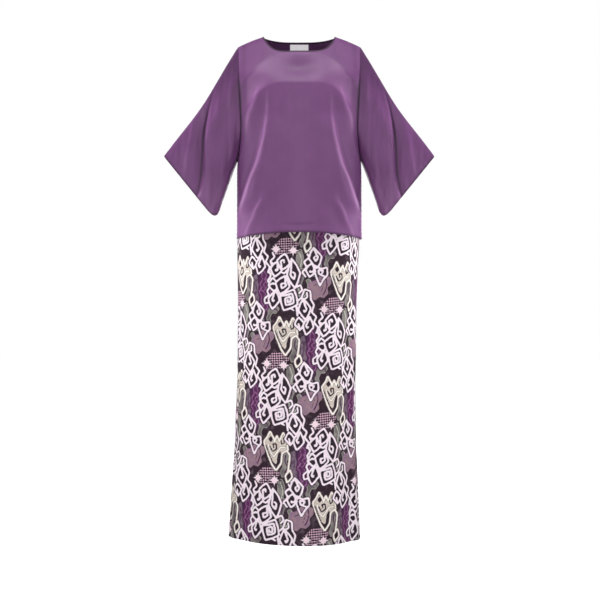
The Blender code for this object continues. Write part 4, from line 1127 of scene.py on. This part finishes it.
MOTIFS = {
    "stars": Motif(0, 0),
    "cloud": Motif(101, -32),
    "leaf": Motif(-36, -54),
    "haze": Motif(76, -10),
    "moss_top": Motif(-8, -132),
    "moss_side": Motif(58, -24),
    "moss_middle": Motif(42, 34),
    "moss_low": Motif(56, 94),
    "moss_left": Motif(-44, -106),
    "cream_rock": Motif(28, -82),
    "comb_rock": Motif(80, 44),
    "arch_rock": Motif(-68, 8),
    "tall_rock": Motif(0, 92),
}
DRAWING = {
    "tall_rock": (
        Line("white", 2.5, ((-31, -80), (-25, -69), (-37, -58), (-31, -45), (-42, -33), (-34, -20),
                            (-43, -6), (-36, 8), (-45, 22), (-38, 34))),
        Scroll("white", 2.5, -21, -36, 30, 44, 10, 0, 1),
        Scroll("white", 2.5, 26, -24, 38, 76, -8, 0, -1),
        Scroll("white", 2.5, -2, -56, 34, 48, 12, 2, 1),
        Scroll("white", 2.4, -27, 4, 26, 40, -10, 3, 1),
        Scroll("white", 2.5, -2, 4, 38, 54, 16, 0, 1),
        Scroll("white", 2.5, -26, 44, 30, 54, 8, 0, -1),
        Scroll("white", 2.5, 14, 45, 56, 58, 26, 3, 1),
        Line("white", 2.3, ((42, 26), (50, 17), (45, 4), (37, 9))),
        Line("white", 2.3, ((-42, 34), (-52, 42), (-50, 55), (-40, 52))),
        Line("white", 2.3, ((8, -34), (2, -26), (-8, -30))),
    ),
    "arch_rock": (
        Line("white", 2.5, ((-26, 10), (-31, -24), (-15, -38), (-8, -60), (8, -54), (9, -32),
                            (18, -18), (12, 2), (25, 14), (18, 28), (30, 42), (25, 56))),
        Scroll("white", 2.5, -8, -6, 32, 60, -8, 0, 1),
        Scroll("white", 2.4, 2, 38, 32, 46, 12, 0, -1),
        Scroll("white", 2.4, -21, 32, 24, 36, -6, 2, 1),
        Line("white", 2.2, ((-31, -24), (-42, -20), (-44, -8), (-36, -4))),
        Line("white", 2.2, ((30, 42), (40, 46), (42, 34), (35, 30))),
        Line("white", 2.2, ((-2, -50), (0, -38), (-8, -34))),
    ),
    "comb_rock": (
        Line("white", 2.5, ((-8, -44), (-20, -32), (-13, -21), (-27, -9), (-19, 5), (-31, 18),
                            (-22, 30))),
        Scroll("white", 2.5, 3, -20, 36, 56, -10, 0, 1),
        Scroll("white", 2.4, -9, 14, 26, 38, 8, 1, 1),
        Line("white", 2.5, ((0, 12), (8, 34), (17, 56), (26, 38), (38, 26), (36, 6), (20, 10), (4, 2))),
        Line("white", 2.3, ((29, 30), (14, 24), (12, 12), (26, 16), (22, 22))),
        Scroll("cream", 2.2, -18, -50, 20, 32, 12, 2, 1),
    ),
    "cream_rock": (
        Patch("body", ((-34, -14), (-24, -26), (-16, -42), (-6, -24), (0, -32), (8, -16), (18, -40),
                       (27, -24), (32, 6), (20, 12), (8, 20), (0, 46), (-12, 34), (-22, 14),
                       (-30, 4))),
        Line("cream", 2.2, ((-12, 44), (-22, 20), (-34, -14), (-24, -26), (-17, -42), (-7, -24),
                            (-4, -14))),
        Line("cream", 2.0, ((-4, -14), (2, -32), (9, -14), (12, -24), (19, -40), (27, -24), (32, 6))),
        Line("cream", 2.3, ((-12, 44), (0, 62), (14, 42), (16, 16), (28, 8), (37, 20), (35, 44),
                            (32, 62))),
        Line("cream", 2.0, ((-22, -8), (-15, 14), (-6, 26), (4, 12), (12, 0), (24, 0))),
        Line("dark", 1.9, ((-17, -2), (-9, 12), (2, 4), (0, -9), (-9, -8), (-6, 1))),
        Line("dark", 1.8, ((13, -18), (15, -8), (22, -12), (20, -26))),
        Patch("dark", ((-22, -21), (-14, -30), (-8, -19), (-15, -12))),
        Patch("dark", ((6, 16), (13, 8), (13, 28), (6, 42), (2, 34))),
        Line("dark", 1.7, ((-28, -4), (-20, 17), (-11, 34))),
    ),
    "cloud": (
        Patch("violet", ((-6, -64), (7, -50), (14, -30), (22, -6), (19, 22), (13, 46), (2, 62),
                         (-9, 46), (-12, 24), (-20, 6), (-17, -20), (-11, -42))),
        Line("mauve", 1.3, ((-5, -54), (5, -42), (3, -32), (12, -22), (10, -10), (18, 0), (13, 12),
                            (16, 24), (8, 34), (9, 46), (1, 54))),
        Line("mauve", 1.3, ((-5, -54), (-9, -40), (-6, -28), (-14, -18), (-9, -6), (-16, 4), (-8, 14),
                            (-10, 28), (-4, 40), (1, 54))),
        Line("mauve", 1.2, ((-3, -34), (4, -24), (-4, -16), (4, -6), (-4, 2), (5, 10), (-2, 18),
                            (4, 28), (0, 38))),
        Line("mauve", 1.1, ((4, -24), (8, -14), (4, -6))),
        Line("mauve", 1.1, ((-4, 2), (-10, -2), (-6, -10))),
    ),
    "leaf": (
        Patch("leaf", ((-34, 2), (-27, -14), (-13, -19), (-2, -31), (15, -35), (32, -27), (33, -11),
                       (22, 0), (25, 15), (13, 27), (0, 23), (-11, 33), (-24, 27), (-23, 13))),
        Line("mauve", 1.2, ((24, -34), (8, -22), (-8, -20), (-27, -16), (-24, 0), (-20, 14))),
        Line("violet_line", 1.6, ((18, -24), (21, -8), (15, 10), (10, 18))),
        Line("violet_line", 0.9, ((-18, -6), (2, -14), (12, -10), (4, 12))),
    ),
    "haze": (
        Patch("haze", ((-10, -58), (2, -66), (6, -42), (11, -20), (8, 8), (16, 30), (2, 46), (-8, 20),
                       (-12, -6), (-6, -30))),
        Line("violet_line", 1.1, ((-2, -50), (2, -28), (-4, -8), (4, 14), (2, 30))),
    ),
    "moss_top": (
        Patch("moss", ((-22, -24), (-10, -36), (-4, -18), (10, -24), (20, -12), (10, 2), (0, 0),
                       (-6, 12), (-2, 26), (-12, 28), (-18, 14), (-12, 0))),
        Line("violet_line", 1.6, ((-12, -18), (-3, -8), (10, -12), (14, -4))),
    ),
    "moss_left": (
        Patch("moss", ((-16, -22), (2, -28), (14, -8), (8, 16), (-8, 24), (-18, 4))),
        Line("violet_line", 1.6, ((-6, -14), (3, -2), (-4, 12))),
        Line("moss_pale", 1.1, ((-12, -14), (-10, 2), (-6, 18))),
    ),
    "moss_side": (
        Patch("moss", ((-10, -44), (2, -50), (7, -34), (-2, -20), (10, -6), (5, 10), (12, 26),
                       (4, 42), (-5, 34), (-2, 18), (-14, 22), (-20, 6), (-12, -8), (-16, -26))),
        Line("violet_line", 1.8, ((-4, -38), (-6, -22), (2, -6), (-6, 8))),
        Line("moss_pale", 1.2, ((6, -42), (5, -28))),
    ),
    "moss_middle": (
        Patch("moss", ((-10, -30), (4, -34), (12, -10), (7, 16), (-3, 34), (-10, 10))),
        Line("moss_pale", 1.4, ((-2, -24), (6, -4), (0, 24))),
    ),
    "moss_low": (
        Patch("moss", ((-16, -40), (-4, -44), (2, -24), (-6, -6), (-8, 8), (2, 18), (8, 4), (2, -10),
                       (12, -16), (24, 0), (20, 18), (8, 30), (-6, 46), (-16, 32), (-20, 4),
                       (-14, -16))),
        Line("moss_pale", 1.2, ((14, -10), (20, 2), (16, 14), (4, 26), (-6, 40), (-13, 28), (-16, 8))),
        Line("violet_line", 1.6, ((-10, -34), (-9, -18), (-13, 0))),
    ),
}
STARS = ((-22, 2), (24, 5))
STAR = {"long": (17.5, 4.3), "short": (13.5, 3.9), "middle": 4.6, "slope": 0.92, "diagonal": 0.7071}
TRELLIS = ((-34, -2), (-8, -28), (28, -30), (40, -12), (24, 10), (-6, 18), (-28, 14))
TRELLIS_PITCH = 6.0
TRELLIS_SLANT = 0.9


def scroll_points(part):
    """The outer ring of an angular scroll, with full sides, and the hook that winds in from it."""
    winding = WINDING / (part.wide / 2)
    steps = np.arange(0, 8 / winding) / 2
    wound = SCROLL_HOOK["start"] + steps / 4 * SCROLL_HOOK["pace"]
    hook = np.where(steps > 0, 1 - winding * wound, 1.0)
    steps, hook = steps[hook > SCROLL_HOOK["least"]], hook[hook > SCROLL_HOOK["least"]]
    cos, sin = math.cos(math.radians(part.lean)), math.sin(math.radians(part.lean))

    def corners(steps, reach):
        turn = (part.start + part.hand * steps) * math.pi / 2
        uneven = (1 + SCROLL_WOBBLE[0] * np.sin(turn * 2 + part.x)
                  + SCROLL_WOBBLE[1] * np.sin(turn + part.y))
        reach = reach * uneven * np.where(steps % 1 > 0, SCROLL_SIDE, 1.0)
        x, y = part.wide / 2 * reach * np.sin(turn), -part.tall / 2 * reach * np.cos(turn)
        return np.stack([part.x + x * cos - y * sin, part.y + x * sin + y * cos], axis=-1)

    return corners(np.arange(8) / 2, 1.0), corners(steps, hook)


def softened(points, closed=False):
    """Cuts the corners of a drawn line, twice, so that they turn in a small curve."""
    points = np.asarray(points, float)
    for _ in range(2):
        following = np.roll(points, -1, axis=0) if closed else points[1:]
        leading = points if closed else points[:-1]
        shares = (CORNER_CUT, 1 - CORNER_CUT)
        cut = np.stack([leading * (1 - share) + following * share for share in shares], axis=1)
        cut = cut.reshape(-1, 2)
        points = cut if closed else np.concatenate([points[:1], cut[1:-1], points[-1:]])
    return points


def to_line(x, y, points):
    """Distance from each place to a drawn line."""
    best = np.full(x.shape, FAR)
    for (ax, ay), (bx, by) in zip(points[:-1], points[1:]):
        dx, dy = bx - ax, by - ay
        share = np.clip(((x - ax) * dx + (y - ay) * dy) / max(dx * dx + dy * dy, 1e-9), 0, 1)
        best = np.minimum(best, np.hypot(x - ax - share * dx, y - ay - share * dy))
    return best


def to_patch(x, y, points):
    """Distance from each place to the edge of a patch, negative inside it."""
    inside = np.zeros(x.shape, bool)
    for (ax, ay), (bx, by) in zip(points, np.roll(points, -1, axis=0)):
        crosses = (ay > y) != (by > y)
        inside ^= crosses & (x < ax + (bx - ax) * (y - ay) / (by - ay + 1e-12))
    ring = np.concatenate([points, points[:1]])
    return to_line(x, y, ring) * np.where(inside, -1, 1)


def to_star(x, y):
    """Distance from each place to a star of four long points, four short ones and a round middle."""
    p, q = (x + y) * STAR["diagonal"], (x - y) * STAR["diagonal"]
    best = np.hypot(x, y) - STAR["middle"]
    for a, b, size in ((x, y, "long"), (y, x, "long"), (p, q, "short"), (q, p, "short")):
        reach, thin = STAR[size]
        best = np.minimum(best, (np.abs(a) / reach + np.abs(b) / thin - 1) * thin * STAR["slope"])
    return best


def chart_print():
    """Charts one repeat: for each ink, the distance to its edge in millimetres, negative inside."""
    steps = [(np.arange(n) + 0.5) / n for n in CHART_SIZE]
    a, b = np.meshgrid(*steps, indexing="ij")
    inverse = np.linalg.inv(REPEAT)
    inks = {}
    for name, motif in MOTIFS.items():
        at = np.array([motif.x, motif.y]) @ inverse
        da, db = (a - at[0] + 0.5) % 1 - 0.5, (b - at[1] + 0.5) % 1 - 0.5
        x, y = da * REPEAT[0, 0] + db * REPEAT[1, 0], da * REPEAT[0, 1] + db * REPEAT[1, 1]
        for part in DRAWING.get(name, ()):
            old = inks.get(part.ink, FAR)
            if isinstance(part, Scroll):
                ring, hook = scroll_points(part)
                own = to_patch(x, y, softened(ring, closed=True))
                field = np.minimum(np.abs(own), to_line(x, y, softened(hook))) - part.half
                old = np.maximum(old, -own)
                inks["rock"] = np.minimum(inks.get("rock", FAR), own)
                for under in ("white", "cream"):
                    if under in inks and under != part.ink:
                        inks[under] = np.maximum(inks[under], HALO + part.half - own)
            elif isinstance(part, Line):
                field = to_line(x, y, softened(part.points)) - part.half
            else:
                field = to_patch(x, y, softened(part.points, closed=True))
            inks[part.ink] = np.minimum(old, field)
        if name == "stars":
            inks["trellis"] = to_patch(x, y, softened(TRELLIS, closed=True))
            u, v = (x + y * TRELLIS_SLANT) / TRELLIS_PITCH, (x * TRELLIS_SLANT - y) / TRELLIS_PITCH
            inks["check"] = np.cos(u * math.pi) * np.cos(v * math.pi)
            inks["star"] = np.minimum.reduce([to_star(x - sx, y - sy) for sx, sy in STARS])
    return inks


def print_at(inks, x, y):
    """The charted fields at places on the flat cloth, in metres, as the repeat runs on."""
    inverse = np.linalg.inv(REPEAT)
    a, b = ((x * inverse[0, k] + y * inverse[1, k]) * MILLIMETRES * CHART_SIZE[k] - 0.5 for k in (0, 1))
    i, j = np.floor(a).astype(int), np.floor(b).astype(int)
    s, t = a - i, b - j
    corners = [(p, q, s if p else 1 - s, t if q else 1 - t) for q in (0, 1) for p in (0, 1)]
    out = {}
    for ink, field in inks.items():
        n, m = field.shape
        out[ink] = sum(field[(i + p) % n, (j + q) % m] * along * over for p, q, along, over in corners)
    return out


INKS = {
    "ground": linear(44, 22, 38), "ground_violet": linear(66, 32, 68),
    "ground_dusty": linear(92, 72, 86), "white": linear(253, 238, 248),
    "cream": linear(250, 244, 238), "body": linear(228, 217, 208),
    "body_warm": linear(210, 195, 184), "body_deep": linear(150, 130, 124),
    "haze": linear(126, 106, 122), "violet": linear(88, 38, 82),
    "mauve": linear(152, 96, 148), "violet_line": linear(80, 40, 76),
    "leaf": linear(154, 124, 146), "leaf_warm": linear(168, 136, 142),
    "leaf_deep": linear(118, 86, 114), "moss": linear(160, 151, 148),
    "moss_cool": linear(138, 134, 131), "moss_deep": linear(92, 85, 87),
    "moss_pale": linear(198, 198, 184), "star": linear(250, 228, 238),
    "check": linear(222, 182, 202),
}
# which ink's distance each of the cloth's attributes carries
PRINT_FIELDS = {
    "print_rocks": ("white", "cream", "rock"),
    "print_patches": ("moss", "violet", "leaf"),
    "print_stars": ("star", "trellis", "check"),
    "print_lines": ("mauve", "violet_line", "moss_pale"),
    "print_bodies": ("body", "dark", "haze"),
}
PRINT_PLACE = {"front": (0.037, -0.190), "back": (0.111, -0.118)}  # how far the repeat is moved
INK_EDGE = 0.45  # an ink's edge is this soft, in millimetres
WAVERS = ((210.0, 1.5), (90.0, 1.9))  # how closely and how far an ink's edge wavers
BATIK_THREADS = 2000.0
BATIK_RELIEF = 0.00008


def batik_finish():
    """Printed cotton: each ink covers what lies under it, with a slightly wavering, worn edge."""
    made, tree, shader = shader_of("kain_batik", 0.62, Sheen_Weight=0.04, Sheen_Roughness=0.5,
                                   Specular_IOR_Level=0.25)
    place = attribute(tree, "cloth_place", "Vector")
    hem, edge = (attribute(tree, name) for name in ("from_hem", "from_edge"))
    fields = {}
    for name, inks in PRINT_FIELDS.items():
        split = node(tree, "ShaderNodeSeparateXYZ", in_0=attribute(tree, name, "Vector"))
        fields.update({ink: split.outputs[k] for k, ink in enumerate(inks)})
    waver = 0.0
    for scale, reach in WAVERS:
        part = maths(tree, "SUBTRACT", noise(tree, place, scale, 2.0), 0.5)
        waver = maths(tree, "ADD", waver, maths(tree, "MULTIPLY", part, reach))
    cloud, blot = noise(tree, place, 26.0, 3.0), noise(tree, place, 70.0, 4.0)

    def mask(ink, grow=0.0):
        wavering = maths(tree, "ADD", fields[ink], waver)
        return ranged(tree, wavering, grow - INK_EDGE, grow + INK_EDGE, 1.0, 0.0)

    def both(a, b):
        return maths(tree, "MULTIPLY", a, b)

    # the ground: nearly black, speckled with a dusty tone, and violet round the clouds
    speckled = both(ranged(tree, blot, 0.48, 0.66), ranged(tree, cloud, 0.40, 0.62))
    colour = blend_colours(tree, speckled, INKS["ground"], INKS["ground_dusty"])
    around = maths(tree, "ADD", fields["violet"], both(maths(tree, "SUBTRACT", cloud, 0.5), 40.0))
    colour = blend_colours(tree, ranged(tree, around, 16.0, 12.0), colour, INKS["ground_violet"])

    # inks that vary within one motif
    moss = blend_colours(tree, ranged(tree, blot, 0.35, 0.65), INKS["moss"], INKS["moss_cool"])
    leaf = blend_colours(tree, ranged(tree, blot, 0.35, 0.65), INKS["leaf"], INKS["leaf_warm"])
    hatch = node(tree, "ShaderNodeTexWave", in_Vector=place, in_Scale=105.0, in_Distortion=3.5,
                 in_Detail_Scale=2.0, bands_direction="DIAGONAL").outputs["Fac"]
    leaf = blend_colours(tree, both(ranged(tree, hatch, 0.35, 0.85), 0.45), leaf, INKS["leaf_deep"])
    body = blend_colours(tree, ranged(tree, blot, 0.40, 0.66), INKS["body"], INKS["body_warm"])
    haze = both(mask("haze"), ranged(tree, blot, 0.30, 0.56))
    checked = both(mask("trellis"), ranged(tree, fields["check"], -0.05, 0.22))
    deep_moss = both(mask("moss", INK_REACH["moss"]), ranged(tree, cloud, 0.42, 0.58, 0.15, 0.85))

    # each ink covers those before it
    for share, ink in (
        (haze, INKS["haze"]),
        (mask("trellis"), INKS["ground"]),
        (checked, INKS["check"]),
        (mask("moss", HALO), INKS["ground"]),
        (mask("moss"), moss),
        (deep_moss, INKS["moss_deep"]),
        (mask("moss_pale"), INKS["moss_pale"]),
        (mask("violet"), INKS["violet"]),
        (mask("leaf"), leaf),
        (mask("violet_line"), INKS["violet_line"]),
        (mask("mauve"), INKS["mauve"]),
        (mask("star", INK_REACH["star"]), INKS["ground"]),
        (mask("star"), INKS["star"]),
        (mask("rock"), INKS["ground"]),
        (mask("body", HALO), INKS["ground"]),
        (mask("cream", HALO), INKS["ground"]),
        (mask("body"), body),
        (mask("cream", INK_REACH["cream"]), INKS["body_deep"]),
        (mask("cream"), INKS["cream"]),
        (mask("dark"), INKS["ground"]),
        (mask("white", HALO), INKS["ground"]),
        (mask("white"), INKS["white"]),
    ):
        colour = blend_colours(tree, share, colour, ink)

    weave = woven(tree, place, BATIK_THREADS)
    tone = ranged(tree, maths(tree, "ADD", weave["Tone"], blot), 0.6, 1.4, 0.92, 1.04)
    tone = both(tone, ranged(tree, maths(tree, "MINIMUM", edge, hem), 0.0004, 0.0020, 0.45, 1.0))
    tree.links.new(toned(tree, tone, colour), shader.inputs["Base Color"])
    tree.links.new(ranged(tree, blot, 0.3, 0.7, 0.56, 0.68), shader.inputs["Roughness"])
    bump = node(tree, "ShaderNodeBump", in_Strength=0.6, in_Distance=1.0,
                in_Height=maths(tree, "MULTIPLY", weave["Height"], BATIK_RELIEF))
    tree.links.new(bump.outputs[0], shader.inputs["Normal"])
    return made


batik = batik_finish()
repeat = chart_print()
for side in ("front", "back"):
    grid = skirt_grid(side)
    points, normals = grid["points"], grid["normals"]
    inside = (points - CLOTH * normals)[::SKIRT_INSIDE_STEP]
    moved = [grid["flat"][..., k] + PRINT_PLACE[side][k] for k in (0, 1)]
    printed = print_at(repeat, *moved)
    inked = {name: np.stack([printed[ink] for ink in inks], axis=-1)
             for name, inks in PRINT_FIELDS.items()}
    panel = cloth_wall(f"kain_{side}_panel", points, inside, batik, cloth_place=grid["flat"],
                       from_hem=grid["hem"], from_edge=grid["edge"], **inked)
    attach(panel, "root")
    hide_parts(f"kain_{side}")

# ==== Waistband ==================================================================================
# A band of wide elastic in a dark casing, sewn to the skirt's top edge. It carries the skirt at the
# waist, hidden under the blouse.
BAND = 0.003
WAISTBAND_HEIGHT = 0.035
WAISTBAND_TAPER = 0.0025
WAISTBAND_ROWS = 12


def waistband_grids():
    across = np.linspace(-1, 1, SKIRT_COLUMNS + 1)
    front, back = (skirt(side, across, 0.0) for side in ("front", "back"))
    ring = np.concatenate([front, back[-2:0:-1]])
    ring[[0, SKIRT_COLUMNS], 1] = 0.0
    middle = ring.mean(axis=0)
    outward = unit((ring - middle) * np.array([1.0, 1.0, 0.0]))
    climb = np.linspace(0, 1, WAISTBAND_ROWS + 1)[:, None, None]
    lift = np.array([0.0, 0.0, SEAM_GAP]) + climb * np.array([0.0, 0.0, WAISTBAND_HEIGHT])
    outer = ring + lift - outward * climb * WAISTBAND_TAPER + outward * (BAND - CLOTH) / 2
    return outer, outer - outward * BAND


casing = trim_finish(
    "dark_casing", 0.7, 1500.0, (linear(44, 30, 42), linear(68, 50, 64)), 0.0002, Sheen_Weight=0.1)
outer, inner = waistband_grids()
waistband = cloth_wall("waistband", outer, inner, casing, ring=True,
                       cloth_place=np.stack([lengths_along(outer, 1), lengths_along(outer, 0)], axis=-1))
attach(waistband, "root")
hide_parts("kain_waistband")
